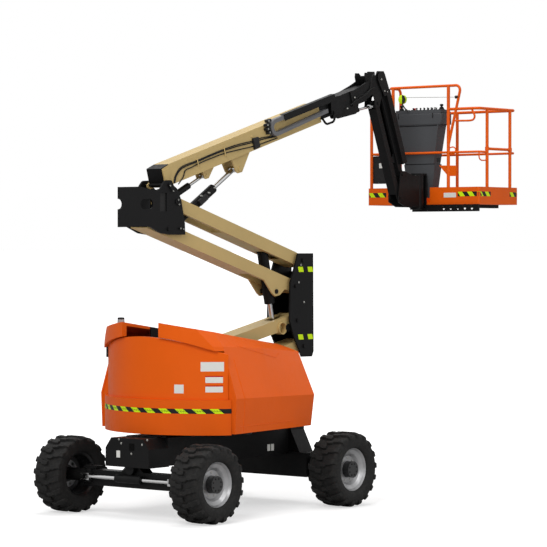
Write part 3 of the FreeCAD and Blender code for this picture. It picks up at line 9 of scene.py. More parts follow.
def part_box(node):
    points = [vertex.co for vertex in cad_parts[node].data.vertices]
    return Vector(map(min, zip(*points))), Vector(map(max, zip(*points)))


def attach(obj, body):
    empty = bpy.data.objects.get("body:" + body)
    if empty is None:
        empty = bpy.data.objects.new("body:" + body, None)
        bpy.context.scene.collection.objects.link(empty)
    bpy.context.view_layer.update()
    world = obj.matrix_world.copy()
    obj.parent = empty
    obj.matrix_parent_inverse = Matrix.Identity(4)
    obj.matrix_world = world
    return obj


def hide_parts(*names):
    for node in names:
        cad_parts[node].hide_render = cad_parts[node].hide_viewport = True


# Articulating boom lift. Metres, +Z up, +X toward the platform, origin on the ground below the slew axis.

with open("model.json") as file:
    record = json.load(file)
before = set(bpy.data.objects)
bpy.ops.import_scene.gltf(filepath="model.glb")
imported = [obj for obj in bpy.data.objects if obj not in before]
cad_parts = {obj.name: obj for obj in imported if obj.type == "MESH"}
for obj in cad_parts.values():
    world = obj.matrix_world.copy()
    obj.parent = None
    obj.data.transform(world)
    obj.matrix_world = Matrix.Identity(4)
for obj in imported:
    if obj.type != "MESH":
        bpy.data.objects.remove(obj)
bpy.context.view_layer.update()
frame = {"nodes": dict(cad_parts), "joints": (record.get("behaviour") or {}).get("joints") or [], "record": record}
NODES = frame["nodes"]


# Camera at the photograph's viewing angle

IMAGE_SIDE = 547
FOCAL_PIXELS = 2519
VIEW_AZIMUTH = 50.8
VIEW_PITCH = 0.63
CAMERA_PLACE = (-21.19, -18.22, 2.92)

camera_data = bpy.data.cameras.new("camera")
camera = bpy.data.objects.new("camera", camera_data)
bpy.context.scene.collection.objects.link(camera)
camera.location = CAMERA_PLACE
camera.rotation_euler = (math.radians(90 - VIEW_PITCH), 0, math.radians(-VIEW_AZIMUTH))
camera_data.sensor_width = 36
camera_data.lens = FOCAL_PIXELS / IMAGE_SIDE * camera_data.sensor_width
camera_data.clip_end = 2000
bpy.context.scene.camera = camera
bpy.context.scene.view_settings.view_transform = "Standard"


# Materials

def linear(red, green, blue):
    """A colour as it looks on screen, turned into the numbers that a shader takes."""
    channels = [c / 12.92 if c <= 0.04045 else ((c + 0.055) / 1.055) ** 2.4 for c in (red, green, blue)]
    return (*channels, 1)


def toned(colour, factor):
    """The same colour, lighter or darker."""
    return tuple(min(1, c * factor) for c in colour[:3]) + (1,)


class Shader:
    """A material's nodes, made and joined a line at a time."""

    def __init__(self, name):
        self.material = bpy.data.materials.new(name)
        self.material.use_nodes = True
        self.tree = self.material.node_tree
        self.surface = self.tree.nodes["Principled BSDF"]
        self.place = self.node("ShaderNodeTexCoord").outputs["Object"]

    def node(self, kind, **fields):
        made = self.tree.nodes.new(kind)
        for field, value in fields.items():
            setattr(made, field, value)
        return made

    def link(self, source, target):
        self.tree.links.new(source, target)

    def noise(self, scale, detail=3, roughness=0.55, stretch=(1, 1, 1)):
        mapping = self.node("ShaderNodeMapping")
        mapping.inputs["Scale"].default_value = stretch
        self.link(self.place, mapping.inputs["Vector"])
        made = self.node("ShaderNodeTexNoise")
        made.inputs["Scale"].default_value = scale
        made.inputs["Detail"].default_value = detail
        made.inputs["Roughness"].default_value = roughness
        self.link(mapping.outputs["Vector"], made.inputs["Vector"])
        return made.outputs["Fac"]

    def span(self, value, low, high, to_low=0, to_high=1):
        made = self.node("ShaderNodeMapRange")
        made.interpolation_type = "SMOOTHSTEP"
        for field, number in zip(("From Min", "From Max", "To Min", "To Max"), (low, high, to_low, to_high)):
            made.inputs[field].default_value = number
        self.link(value, made.inputs["Value"])
        return made.outputs["Result"]

    def math(self, operation, first, second):
        made = self.node("ShaderNodeMath", operation=operation)
        for index, value in enumerate((first, second)):
            if isinstance(value, (int, float)):
                made.inputs[index].default_value = value
            else:
                self.link(value, made.inputs[index])
        return made.outputs["Value"]

    def mix(self, factor, first, second):
        made = self.node("ShaderNodeMix", data_type="RGBA")
        self.link(factor, made.inputs["Factor"])
        for name, value in (("A", first), ("B", second)):
            socket = [item for item in made.inputs if item.name == name and item.type == "RGBA"][0]
            if isinstance(value, tuple):
                socket.default_value = value
            else:
                self.link(value, socket)
        return [item for item in made.outputs if item.type == "RGBA"][0]

    def axis(self, letter):
        split = self.node("ShaderNodeSeparateXYZ")
        self.link(self.place, split.inputs["Vector"])
        return split.outputs[letter]

    def bump(self, height, strength, distance):
        made = self.node("ShaderNodeBump")
        made.inputs["Strength"].default_value = strength
        made.inputs["Distance"].default_value = distance
        self.link(height, made.inputs["Height"])
        self.link(made.outputs["Normal"], self.surface.inputs["Normal"])

    def finish(self, colour, roughness, metallic=0, coat=0, specular=0.5):
        inputs = self.surface.inputs
        self.link(colour, inputs["Base Color"])
        self.link(roughness, inputs["Roughness"])
        inputs["Metallic"].default_value = metallic
        inputs["Coat Weight"].default_value = coat
        inputs["Coat Roughness"].default_value = 0.12
        inputs["Specular IOR Level"].default_value = specular
        return self.material


def painted(name, colour, rough=(0.3, 0.42), skin=320, skin_depth=0.0004, metallic=0, coat=0.0, mottle=0.06,
            dust=None, specular=0.2):
    """Paint or moulding: a slightly uneven tone, faint scuffs, a fine skin and dust low down."""
    shader = Shader(name)
    tone = shader.span(shader.noise(1.3, 4), 0.3, 0.7)
    face = shader.mix(tone, toned(colour, 1 - mottle), toned(colour, 1 + mottle))
    scuffs = shader.span(shader.noise(38, 8, 0.72, (1, 1, 0.35)), 0.62, 0.78)
    face = shader.mix(shader.math("MULTIPLY", scuffs, 0.25), face, toned(colour, 0.72))
    if dust:
        grey, height, amount = dust
        low = shader.span(shader.axis("Z"), height, 0.0)
        cloud = shader.span(shader.noise(9, 6, 0.65), 0.35, 0.75)
        face = shader.mix(shader.math("MULTIPLY", shader.math("MULTIPLY", low, cloud), amount), face, grey)
    fine = shader.noise(skin, 2)
    wear = shader.span(shader.noise(24, 5), 0.3, 0.7, *rough)
    shader.bump(fine, 0.35, skin_depth)
    return shader.finish(face, wear, metallic, coat, specular)


def worn_metal(name, colour, rough=(0.2, 0.34), grain=(1, 1, 1), scale=90):
    """Bare or plated metal with fine marks along its grain."""
    shader = Shader(name)
    marks = shader.noise(scale, 5, 0.6, grain)
    face = shader.mix(shader.span(marks, 0.3, 0.7), toned(colour, 0.86), toned(colour, 1.05))
    shader.bump(marks, 0.2, 0.0003)
    return shader.finish(face, shader.span(shader.noise(30, 4), 0.3, 0.7, *rough), 1.0)


ORANGE = linear(0.89, 0.365, 0.05)
TAN = linear(0.735, 0.64, 0.43)
BLACK = linear(0.072, 0.072, 0.074)
LIME = linear(0.80, 0.93, 0.06)
DUST = linear(0.30, 0.28, 0.26)

# each finish: colour, range of roughness, how fine its skin is and the skin's depth in metres
FINISH = {
    "orange_plastic": painted("hood_orange", ORANGE, (0.34, 0.44), 240, 0.0003, mottle=0.03, specular=0.12),
    "orange_iron": painted("casting_orange", toned(ORANGE, 0.97), (0.36, 0.5), 95, 0.0009, mottle=0.05,
                           specular=0.12),
    "orange_steel": painted("tube_orange", toned(ORANGE, 0.98), (0.30, 0.42), 300, 0.0003, mottle=0.05,
                            specular=0.14),
    "tan_steel": painted("boom_tan", TAN, (0.38, 0.5), 260, 0.0004, mottle=0.05),
    "black_steel": painted("frame_black", BLACK, (0.34, 0.5), 240, 0.0005, mottle=0.12,
                           dust=(DUST, 0.9, 0.08), specular=0.1),
    "console_grey": painted("console_grey", linear(0.265, 0.27, 0.28), (0.5, 0.62), 520, 0.0006, mottle=0.05),
    "box_black": painted("box_black", linear(0.11, 0.108, 0.108), (0.45, 0.6), 420, 0.0006, mottle=0.08),
    "engine_iron": painted("engine_iron", linear(0.28, 0.29, 0.30), (0.4, 0.6), 120, 0.001, 0.6, mottle=0.15),
    "tank_steel": painted("tank_steel", linear(0.20, 0.20, 0.21), (0.4, 0.55), 200, 0.0006, mottle=0.1),
    "rod_chrome": worn_metal("rod_chrome", linear(0.80, 0.80, 0.80), (0.10, 0.18), (1, 1, 1), 160),
    "zinc": worn_metal("zinc_fitting", linear(0.66, 0.66, 0.64), (0.3, 0.45)),
    "carrier_grey": painted("carrier_grey", linear(0.40, 0.40, 0.41), (0.35, 0.5), 200, 0.0004, mottle=0.08),
    # painted shade: near-black for holes and seams, where shade would fall
    "grease_dark": painted("recess_painted_shade", linear(0.03, 0.03, 0.03), (0.6, 0.8), 300, 0.0003, mottle=0.1,
                           specular=0.05),
    "hose": painted("hose_rubber", linear(0.08, 0.08, 0.08), (0.5, 0.65), 600, 0.0004, mottle=0.1),
    "plate_white": painted("plate_white", linear(0.86, 0.86, 0.84), (0.35, 0.45), 300, 0.0001, mottle=0.02),
    "lime": painted("stripe_lime", LIME, (0.35, 0.45), 300, 0.0001, mottle=0.04),
    "band_black": painted("stripe_black", linear(0.09, 0.09, 0.09), (0.35, 0.45), 300, 0.0001, mottle=0.1),
    "plate_red": painted("plate_red", linear(0.72, 0.10, 0.08), (0.35, 0.45), 300, 0.0001, mottle=0.03),
    "lens_grey": painted("lens_grey", linear(0.62, 0.64, 0.65), (0.15, 0.25), 300, 0.0002, coat=0.4),
    "beacon_amber": painted("beacon_foot", linear(0.13, 0.13, 0.13), (0.35, 0.5), 300, 0.0003, mottle=0.08),
}


def tyre_rubber():
    """Rubber: an uneven tone, clouds of dust, a fine bump and a dull, uneven finish."""
    shader = Shader("tyre_rubber")
    rubber = linear(0.10, 0.098, 0.096)
    tone = shader.span(shader.noise(7, 5), 0.3, 0.7)
    face = shader.mix(tone, toned(rubber, 0.85), toned(rubber, 1.25))
    cloud = shader.span(shader.noise(16, 7, 0.7), 0.5, 0.8)
    face = shader.mix(shader.math("MULTIPLY", cloud, 0.22), face, DUST)
    shader.bump(shader.noise(210, 4), 0.5, 0.0008)
    return shader.finish(face, shader.span(shader.noise(40, 4), 0.3, 0.7, 0.62, 0.8), specular=0.2)


HUB_EDGE = 0.093  # radius of the black hub
DISC_INNER = 1.032  # across the machine, where a wheel's disc begins


def wheel_metal(name, centre):
    """Silver wheel paint, with the hub and the side toward the machine in black."""
    shader = Shader(name)
    x = shader.math("SUBTRACT", shader.axis("X"), centre[0])
    z = shader.math("SUBTRACT", shader.axis("Z"), centre[2])
    squares = shader.math("ADD", shader.math("MULTIPLY", x, x), shader.math("MULTIPLY", z, z))
    reach = shader.math("SQRT", squares, 0)
    outside = shader.span(reach, HUB_EDGE, HUB_EDGE + 0.002)
    across = shader.math("MULTIPLY", shader.axis("Y"), 1 if centre[1] > 0 else -1)
    outer_side = shader.span(across, DISC_INNER, DISC_INNER + 0.002)
    outside = shader.math("MULTIPLY", outside, outer_side)
    silver = linear(0.63, 0.63, 0.635)
    tone = shader.span(shader.noise(6, 5), 0.3, 0.7)
    bright = shader.mix(tone, toned(silver, 0.8), toned(silver, 1.1))
    face = shader.mix(outside, BLACK, bright)
    shader.bump(shader.noise(180, 3), 0.3, 0.0004)
    made = shader.finish(face, shader.span(shader.noise(30, 4), 0.3, 0.7, 0.28, 0.42))
    shader.link(shader.math("MULTIPLY", outside, 0.75), shader.surface.inputs["Metallic"])
    return made


def middle_of(node_name):
    low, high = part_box(node_name)
    return (low + high) / 2


def dress(node_name, material):
    data = NODES[node_name].data
    data.materials.clear()
    data.materials.append(material)


WHEELS = [name.removeprefix("rim_") for name in NODES if name.startswith("rim_")]
SLOT_OF = {entry["node"]: entry["material_slot"] for entry in frame["record"]["subparts"]}

for node_name in NODES:
    slot = SLOT_OF[node_name]
    if slot == "rim_silver":
        dress(node_name, wheel_metal("wheel_" + node_name.removeprefix("rim_"), middle_of(node_name)))
    elif slot in FINISH:
        dress(node_name, FINISH[slot])

dress("hose_carrier", FINISH["carrier_grey"])
TYRE_RUBBER = tyre_rubber()


# Shapes made by code

BEVEL_ANGLE = 40  # degrees; sharper edges than this get a bevel, where a piece asks for one
SHARP_ANGLE = 35  # degrees; edges from this on are shaded sharp


def round_turns(count):
    """Angles spaced evenly round a circle."""
    return [2 * math.pi * k / count for k in range(count)]


class Build:
    """Vertices and faces gathered into one piece."""

    def __init__(self):
        self.points = []
        self.faces = []

    def add(self, points, faces):
        start = len(self.points)
        self.points += [Vector(point) for point in points]
        self.faces += [tuple(start + index for index in face) for face in faces]

    def rings(self, rows, flip=False):
        """A skin round rows of points, closed at both of its ends."""
        count = len(rows[0])
        last = (len(rows) - 1) * count
        faces = []
        for start in range(0, last, count):
            for k in range(count):
                after = (k + 1) % count
                faces.append((start + k, start + after, start + count + after, start + count + k))
        faces.append(tuple(reversed(range(count))))
        faces.append(tuple(range(last, last + count)))
        if flip:
            faces = [tuple(reversed(face)) for face in faces]
        self.add([point for row in rows for point in row], faces)

    def block(self, low, high):
        """A box between two opposite corners."""
        x0, y0, z0 = low
        x1, y1, z1 = high
        self.add([(x, y, z) for z in (z0, z1) for y in (y0, y1) for x in (x0, x1)],
                 [(0, 2, 3, 1), (4, 5, 7, 6), (0, 1, 5, 4), (2, 6, 7, 3), (0, 4, 6, 2), (1, 3, 7, 5)])

    def prism(self, outline, shift):
        """An outline of 3-D points, carried along a vector."""
        count = len(outline)
        outline = [Vector(point) for point in outline]
        shift = Vector(shift)
        sides = [(i, (i + 1) % count, count + (i + 1) % count, count + i) for i in range(count)]
        self.add(outline + [point + shift for point in outline],
                 sides + [tuple(reversed(range(count))), tuple(range(count, 2 * count))])

    def lathe(self, profile, centre, axis, steps=48):
        """A profile of (along, radius) turned about an axis through the centre."""
        turn = Vector((0, 0, 1)).rotation_difference(Vector(axis)).to_matrix()
        rows = []
        for along, radius in profile:
            spots = [(radius * math.cos(angle), radius * math.sin(angle), along) for angle in round_turns(steps)]
            rows.append([Vector(centre) + turn @ Vector(spot) for spot in spots])
        self.rings(rows)

    def bolt(self, centre, axis, radius=0.011, height=0.009, sides=6):
        """A hexagon head on a washer, with a chamfered top."""
        washer = radius * 1.35
        self.lathe([(-0.002, washer), (0.0015, washer), (0.0018, radius * 1.3)], centre, axis, 12)
        self.lathe([(0.001, radius), (height * 0.8, radius), (height, radius * 0.86)], centre, axis, sides)

    def tube(self, points, radius, sides=10):
        """A round bar along points, with closed ends."""
        points = [Vector(point) for point in points]
        rows = []
        side = None
        for index, point in enumerate(points):
            before = points[max(index - 1, 0)]
            after = points[min(index + 1, len(points) - 1)]
            way = (after - before).normalized()
            if side is None:
                side = way.orthogonal().normalized()
            side = (side - way * side.dot(way)).normalized()
            up = way.cross(side)
            rows.append([point + (side * math.cos(angle) + up * math.sin(angle)) * radius
                         for angle in round_turns(sides)])
        self.rings(rows)

    def piece(self, name, material, body, slot=None, bevel=0.0, smooth=True):
        """An object of the scene, made of what was gathered, that rides on a body."""
        data = bpy.data.meshes.new(name)
        data.from_pydata([tuple(point) for point in self.points], [], self.faces)
        data.validate()
        thing = bpy.data.objects.new(name, data)
        bpy.context.scene.collection.objects.link(thing)
        data.materials.append(material)
        if bevel:
            edge = thing.modifiers.new("edges", "BEVEL")
            edge.width = bevel
            edge.segments = 2
            edge.limit_method = "ANGLE"
            edge.angle_limit = math.radians(BEVEL_ANGLE)
        if smooth:
            data.shade_smooth()
            data.set_sharp_from_angle(angle=math.radians(SHARP_ANGLE))
        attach(thing, body)
        return thing


def smooth_path(points, steps=8):
    """Points on a rounded line through the given ones."""
    points = [Vector(point) for point in points]
    padded = [points[0] * 2 - points[1]] + points + [points[-1] * 2 - points[-2]]
    path = []
    for a, b, c, d in zip(padded, padded[1:], padded[2:], padded[3:]):
        for step in range(steps):
            t = step / steps
            path.append(0.5 * ((2 * b) + (c - a) * t + (2 * a - 5 * b + 4 * c - d) * t * t
                               + (3 * b - a - 3 * c + d) * t ** 3))
    path.append(points[-1])
    return path


def hose_run(build, points, radius, sides=10):
    build.tube(smooth_path(points), radius, sides)


def square(left, low, right, high):
    """Corners of a rectangle: low left, low right, high right, high left."""
    return (left, low), (right, low), (right, high), (left, high)


# Tyres: a rounded carcass with lugs that step and lean toward the shoulder

TYRE_RADIUS = 0.42
TYRE_HALF = 0.1875  # half of its width
LUG_COUNT = 18
LUG_ROOT = 0.389  # radius of a lug's foot, sunk into the carcass
LUG_CHAMFER = 0.004
LUG_SKIRT = 0.005  # how much wider than its top a lug's foot is, on each side
SHOULDER = 0.18  # across from the middle, where the sidewall begins
WALL_LUG_DEPTH = 0.012
# across from the middle, shift round the tyre, half width, top radius
LUG_STATIONS = (
    (-0.014, 0.004, 0.020, 0.4165),
    (0.010, 0.000, 0.022, 0.4195),
    (0.060, 0.004, 0.0215, 0.4195),
    (0.078, 0.026, 0.0235, 0.4190),
    (0.128, 0.030, 0.0260, 0.4180),
    (0.146, 0.044, 0.0280, 0.4150),
    (0.170, 0.047, 0.0285, 0.4070),
    (0.1865, 0.048, 0.0275, 0.3920),
    (0.1885, 0.048, 0.0225, 0.3620),
)
CROWN_RADIUS = 0.392  # of the carcass, in the middle between the lugs
# across, radius, from beside the crown round to the bead
HALF_SECTION = [
    (0.070, 0.3915), (0.140, 0.3895), (0.166, 0.385), (0.178, 0.374), (0.183, 0.358), (0.1835, 0.347),
    (0.1865, 0.344), (TYRE_HALF, 0.318), (0.1855, 0.290), (0.178, 0.262), (0.166, 0.246), (0.150, 0.2385),
    (0.128, 0.236), (0.118, 0.2285),
]
OTHER_HALF = [(-across, radius) for across, radius in reversed(HALF_SECTION)]
CARCASS = OTHER_HALF + [(0.0, CROWN_RADIUS)] + HALF_SECTION
RIB_COUNT = 72
RIB_ENDS = ((0.1858, 0.300), (0.1868, 0.332))  # across, radius
RIB_SPREAD = 0.008  # half of a rib's width, as an angle
RIB_RISE = 0.0016
# wheel nuts and hub bolts: how many, how far in from the sidewall, and the circle that they stand on
NUT_COUNT, NUT_DEPTH, NUT_CIRCLE = 9, 0.134, 0.125
HUB_BOLT_COUNT, HUB_BOLT_DEPTH, HUB_BOLT_CIRCLE = 8, 0.036, 0.066


def wheel_point(centre, across, radius, angle):
    """A point round a wheel, by its angle from straight up."""
    return Vector((centre[0] + radius * math.sin(angle), centre[1] + across, centre[2] + radius * math.cos(angle)))


def add_carcass(build, centre, steps=120):
    """The tyre without its lugs: a section carried round and closed on itself."""
    rows = []
    for across, radius in CARCASS:
        rows.append([wheel_point(centre, across, radius, angle) for angle in round_turns(steps)])
    faces = []
    for row in range(len(rows)):
        below = (row + 1) % len(rows)
        for k in range(steps):
            after = (k + 1) % steps
            faces.append((row * steps + k, row * steps + after, below * steps + after, below * steps + k))
    build.add([point for row in rows for point in row], faces)


def add_lug(build, centre, side, turn):
    """A lug from the middle of the tread out over one shoulder."""
    rows = []
    for across, shift, half, top in LUG_STATIONS:
        edge = top - LUG_CHAMFER
        root = min(LUG_ROOT, edge) if across < SHOULDER else top - WALL_LUG_DEPTH
        ring = []
        for offset, radius in ((-half - LUG_SKIRT, root), (-half, edge), (-half + LUG_CHAMFER, top),
                               (half - LUG_CHAMFER, top), (half, edge), (half + LUG_SKIRT, root)):
            ring.append(wheel_point(centre, across * side, radius, turn + (shift + offset) / TYRE_RADIUS))
        rows.append(ring)
    build.rings(rows, flip=side < 0)


def add_wall_ribs(build, centre):
    """Short raised bars round each sidewall."""
    for side in (-1, 1):
        for turn in round_turns(RIB_COUNT):
            corners = [wheel_point(centre, side * across, radius, turn + spread)
                       for across, radius in RIB_ENDS for spread in (-RIB_SPREAD, RIB_SPREAD)]
            build.prism([corners[0], corners[1], corners[3], corners[2]], (0, side * RIB_RISE, 0))


for wheel in WHEELS:
    middle = middle_of("tyre_" + wheel)
    build = Build()
    add_carcass(build, middle)
    for index in range(LUG_COUNT):
        for side in (-1, 1):
            add_lug(build, middle, side, 2 * math.pi / LUG_COUNT * (index + (0.5 if side > 0 else 0)))
    add_wall_ribs(build, middle)
    tyre = build.piece("tread_" + wheel, TYRE_RUBBER, "wheel_" + wheel, "tyre")
    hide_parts("tyre_" + wheel)

    outward = 1 if middle[1] > 0 else -1
    nuts = Build()
    for turn in round_turns(NUT_COUNT):
        spot = wheel_point(middle, outward * (TYRE_HALF - NUT_DEPTH), NUT_CIRCLE, turn)
        nuts.bolt(spot, (0, outward, 0), 0.013, 0.020)
    hub_bolts = Build()
    for index in range(HUB_BOLT_COUNT):
        turn = 2 * math.pi * (index + 0.5) / HUB_BOLT_COUNT
        spot = wheel_point(middle, outward * (TYRE_HALF - HUB_BOLT_DEPTH), HUB_BOLT_CIRCLE, turn)
        hub_bolts.bolt(spot, (0, outward, 0), 0.008, 0.007)
    nuts.piece("nuts_" + wheel, FINISH["zinc"], "wheel_" + wheel)
    hub_bolts.piece("hub_bolts_" + wheel, FINISH["box_black"], "wheel_" + wheel)


# Strips and plates laid on a surface

class Strip:
    """A thin strip on a surface: spot(along, up, out) gives the place of each of its points."""

    def __init__(self, spot):
        self.spot = spot
        self.build = Build()

    def patch(self, corners, rise, steps=1):
        """A raised patch between four (along, up) corners: low left, low right, high right, high left."""
        low_left, low_right, high_right, high_left = corners
        rows = []
        for step in range(steps + 1):
            t = step / steps
            low = [a + (b - a) * t for a, b in zip(low_left, low_right)]
            high = [a + (b - a) * t for a, b in zip(high_left, high_right)]
            rows.append([self.spot(*low, 0), self.spot(*high, 0), self.spot(*high, rise), self.spot(*low, rise)])
        self.build.rings(rows)


BAND_RISE = 0.0010
BAR_RISE = 0.0016
PLATE_RISE = 0.0012
PLATE_BAND_RISE = 0.0017
BAND_STRETCH = 0.03  # about how long the flat stretches of a band are
LEAST_BAR = 0.004  # a bar cut narrower than this by the band's end is left out


def hazard_band(name, spot, start, end, low, high, pitch, lean, body, steps=4):
    """Black band with leaning lime bars, cut square at both of its ends."""
    base = Strip(spot)
    base.patch(square(start, low, end, high), BAND_RISE, max(1, int((end - start) / BAND_STRETCH)))
    base.build.piece(name + "_band", FINISH["band_black"], body, smooth=False)
    bars = Strip(spot)
    count = int((end - start) / pitch) + 2
    for index in range(-1, count):
        left = start + pitch * (index + 0.25)
        corners = []
        right = left + pitch / 2
        for along, up in ((left, low), (right, low), (right + lean, high), (left + lean, high)):
            corners.append((min(max(along, start), end), up))
        if corners[1][0] - corners[0][0] > LEAST_BAR and corners[2][0] - corners[3][0] > LEAST_BAR:
            bars.patch(corners, BAR_RISE, steps)
    bars.build.piece(name + "_bars", FINISH["lime"], body, smooth=False)


def on_arc(radius, start_angle):
    """Along an upright arc round the slew axis, from an angle measured from -X toward -Y."""
    def spot(along, up, out):
        angle = start_angle + along / radius
        reach = radius + out
        return Vector((-reach * math.cos(angle), -reach * math.sin(angle), up))
    return spot


def on_plane(origin, along_way, up_way, out_way):
    """Along, up and out from an origin on a flat face."""
    origin, along_way, up_way, out_way = (Vector(item) for item in (origin, along_way, up_way, out_way))

    def spot(along, up, out):
        return origin + along_way * along + up_way * up + out_way * out
    return spot


def bare_plate(name, spot, corners, body, band=False):
    """A blank plate; some have a red band along the top."""
    (left, low), (right, high) = corners
    plate = Strip(spot)
    plate.patch(square(left, low, right, high), PLATE_RISE, 6)
    plate.build.piece(name, FINISH["plate_white"], body, smooth=False)
    if band:
        edge = high - (high - low) * 0.16
        stripe = Strip(spot)
        stripe.patch(square(left, edge, right, high), PLATE_BAND_RISE, 6)
        stripe.build.piece(name + "_head", FINISH["plate_red"], body, smooth=False)


# Stripes, plates and the beacon's lens

WEIGHT_RADIUS = -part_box("counterweight")[0][0]
PANEL_RADIUS = -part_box("rear_panel")[0][0]
SEAM_X = 0.68  # how far behind the slew axis the rear's skin begins

band_half = math.acos(SEAM_X / WEIGHT_RADIUS) * WEIGHT_RADIUS
hazard_band("rear_stripe", on_arc(WEIGHT_RADIUS, 0), -band_half, band_half, low=1.131, high=1.182,
            pitch=0.19, lean=-0.062, body="turntable")

panel = on_arc(PANEL_RADIUS, 0)
# name, angle from the middle in radians, height, width, plate height, red band
for name, angle, z, width, tall, band in (
        ("plate_wide", 0.752, 1.631, 0.250, 0.100, False), ("plate_mid", 0.770, 1.495, 0.188, 0.074, True),
        ("plate_low", 0.770, 1.394, 0.188, 0.074, True), ("plate_square", 0.425, 1.392, 0.105, 0.094, False)):
    along = angle * PANEL_RADIUS
    bare_plate(name, panel, ((along - width / 2, z - tall / 2), (along + width / 2, z + tall / 2)), "turntable", band)

lens_spot = middle_of("beacon")
lens_spot.z = 0
lens = Build()
lens.lathe([(2.062, 0.0385), (2.066, 0.0400), (2.108, 0.0385), (2.122, 0.0360), (2.132, 0.0290), (2.136, 0.0140)],
           lens_spot, (0, 0, 1), 40)
lens.piece("beacon_lens", FINISH["lens_grey"], "hood_right")

NOSE_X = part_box("chassis_frame")[0][0]
FLANK_Y = -0.3  # the chassis frame's near side
FLANK_PLATE_WIDTH = 0.05
nose = on_plane((NOSE_X, 0, 0), (0, -1, 0), (0, 0, 1), (-1, 0, 0))
bare_plate("plate_nose", nose, ((-0.151, 0.651), (-0.099, 0.725)), "chassis")
flank = on_plane((0, FLANK_Y, 0), (1, 0, 0), (0, 0, 1), (0, -1, 0))
for index, x in enumerate((0.672, 0.738)):
    bare_plate(f"plate_flank_{index}", flank, ((x, 0.615), (x + FLANK_PLATE_WIDTH, 0.69)), "chassis")

UPRIGHT_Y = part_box("mid_upright")[0][1] + 0.014  # the plates' face, behind the pins' ends
upright = on_plane((0, UPRIGHT_Y, 0), (1, 0, 0), (0, 0, 1), (0, -1, 0))
for index, (x, z) in enumerate(((1.40, 1.843), (1.575, 1.843), (1.40, 2.62), (1.575, 2.62))):
    bar = Strip(upright)
    bar.patch(((x, z), (x + 0.088, z), (x + 0.070, z + 0.059), (x - 0.018, z + 0.059)), BAR_RISE)
    bar.build.piece(f"upright_bar_{index}", FINISH["lime"], "mid_upright", smooth=False)

toe_low, toe_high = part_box("toe_boards")
toe_face = on_plane((toe_low[0], 0, 0), (0, -1, 0), (0, 0, 1), (-1, 0, 0))
TOE_RADIUS = 0.025  # of the toe boards' upright corners
TOE_MIDDLE_Y = toe_high[1] - TOE_RADIUS
TOE_TURN = TOE_RADIUS * math.pi / 2


def round_corner(corner, ahead, turned):
    """Along a face, round a corner of the toe boards and on along the next face; 0 is the corner's start."""
    corner, ahead, turned = Vector(corner), Vector(ahead), Vector(turned)

    def spot(along, up, out):
        lift = Vector((0, 0, up))
        if along <= 0:
            return corner - turned * (TOE_RADIUS + out) + ahead * along + lift
        if along >= TOE_TURN:
            return corner + ahead * (TOE_RADIUS + out) + turned * (along - TOE_TURN) + lift
        angle = along / TOE_RADIUS
        return corner + (ahead * math.sin(angle) - turned * math.cos(angle)) * (TOE_RADIUS + out) + lift
    return spot


near_corner = round_corner((toe_low[0] + TOE_RADIUS, -TOE_MIDDLE_Y, 0), (0, -1, 0), (1, 0, 0))
far_corner = round_corner((toe_high[0] - TOE_RADIUS, -TOE_MIDDLE_Y, 0), (1, 0, 0), (0, 1, 0))
left_corner = round_corner((toe_low[0] + TOE_RADIUS, TOE_MIDDLE_Y, 0), (-1, 0, 0), (0, -1, 0))
for name, corner, start, end in (("toe_stripe_right", near_corner, -0.292, 0.260),
                                 ("toe_stripe_end", far_corner, -0.156, 0.045),
                                 ("toe_stripe_left", left_corner, 0.030, 0.301)):
    hazard_band(name, corner, start, end, low=3.524, high=3.580, pitch=0.145, lean=-0.045, body="platform", steps=6)
bare_plate("plate_toe", toe_face, ((0.319, 3.512), (0.503, 3.569)), "platform")


# Boom hoses on the near side, between clamps

boom_lift = [joint for joint in frame["joints"] if joint["name"] == "main_boom_lift"][0]
PIVOT = Vector(boom_lift["pos_m"])
BOOM_TILT = math.radians(16.5)
BOOM_ALONG = Vector((math.cos(BOOM_TILT), 0, math.sin(BOOM_TILT)))
BOOM_UP = Vector((-math.sin(BOOM_TILT), 0, math.cos(BOOM_TILT)))


def in_boom(along, up, y):
    """A place along the boom from its pivot, up from that line, and across the machine."""
    return PIVOT + BOOM_ALONG * along + BOOM_UP * up + Vector((0, y, 0))


HOSE_OUT = -0.112  # the hoses' middle line, across the boom
# each hose: its (along, up) stations from the pivot's plate to the carrier
BOOM_HOSES = (
    ((0.144, -0.016), (0.188, 0.049), (0.282, 0.107), (0.389, 0.120), (0.570, 0.115), (0.808, 0.119),
     (1.073, 0.117), (1.314, 0.106), (1.580, 0.079), (1.743, 0.072), (1.956, 0.034)),
    ((0.158, -0.022), (0.206, 0.046), (0.300, 0.095), (0.420, 0.104), (0.580, 0.102), (0.820, 0.106),
     (1.068, 0.103), (1.320, 0.088), (1.590, 0.060), (1.760, 0.052), (1.990, 0.020)),
    ((0.210, -0.051), (0.303, 0.000), (0.366, 0.062), (0.480, 0.068), (0.590, 0.076), (0.830, 0.078),
     (1.060, 0.071), (1.336, 0.044), (1.604, 0.014), (1.779, 0.008), (2.004, 0.000)),
)
boom_hoses = Build()
for stations in BOOM_HOSES:
    hose_run(boom_hoses, [in_boom(s, n, HOSE_OUT) for s, n in stations], 0.0062)
boom_hoses.piece("boom_hoses", FINISH["hose"], "main_boom")

BOOM_FACE = -0.104  # across the machine, at the boom's near side
CLAMP_OUT = -0.123  # across the machine, outside the hoses
CLAMP_RADIUS = 0.006
clamps = Build()
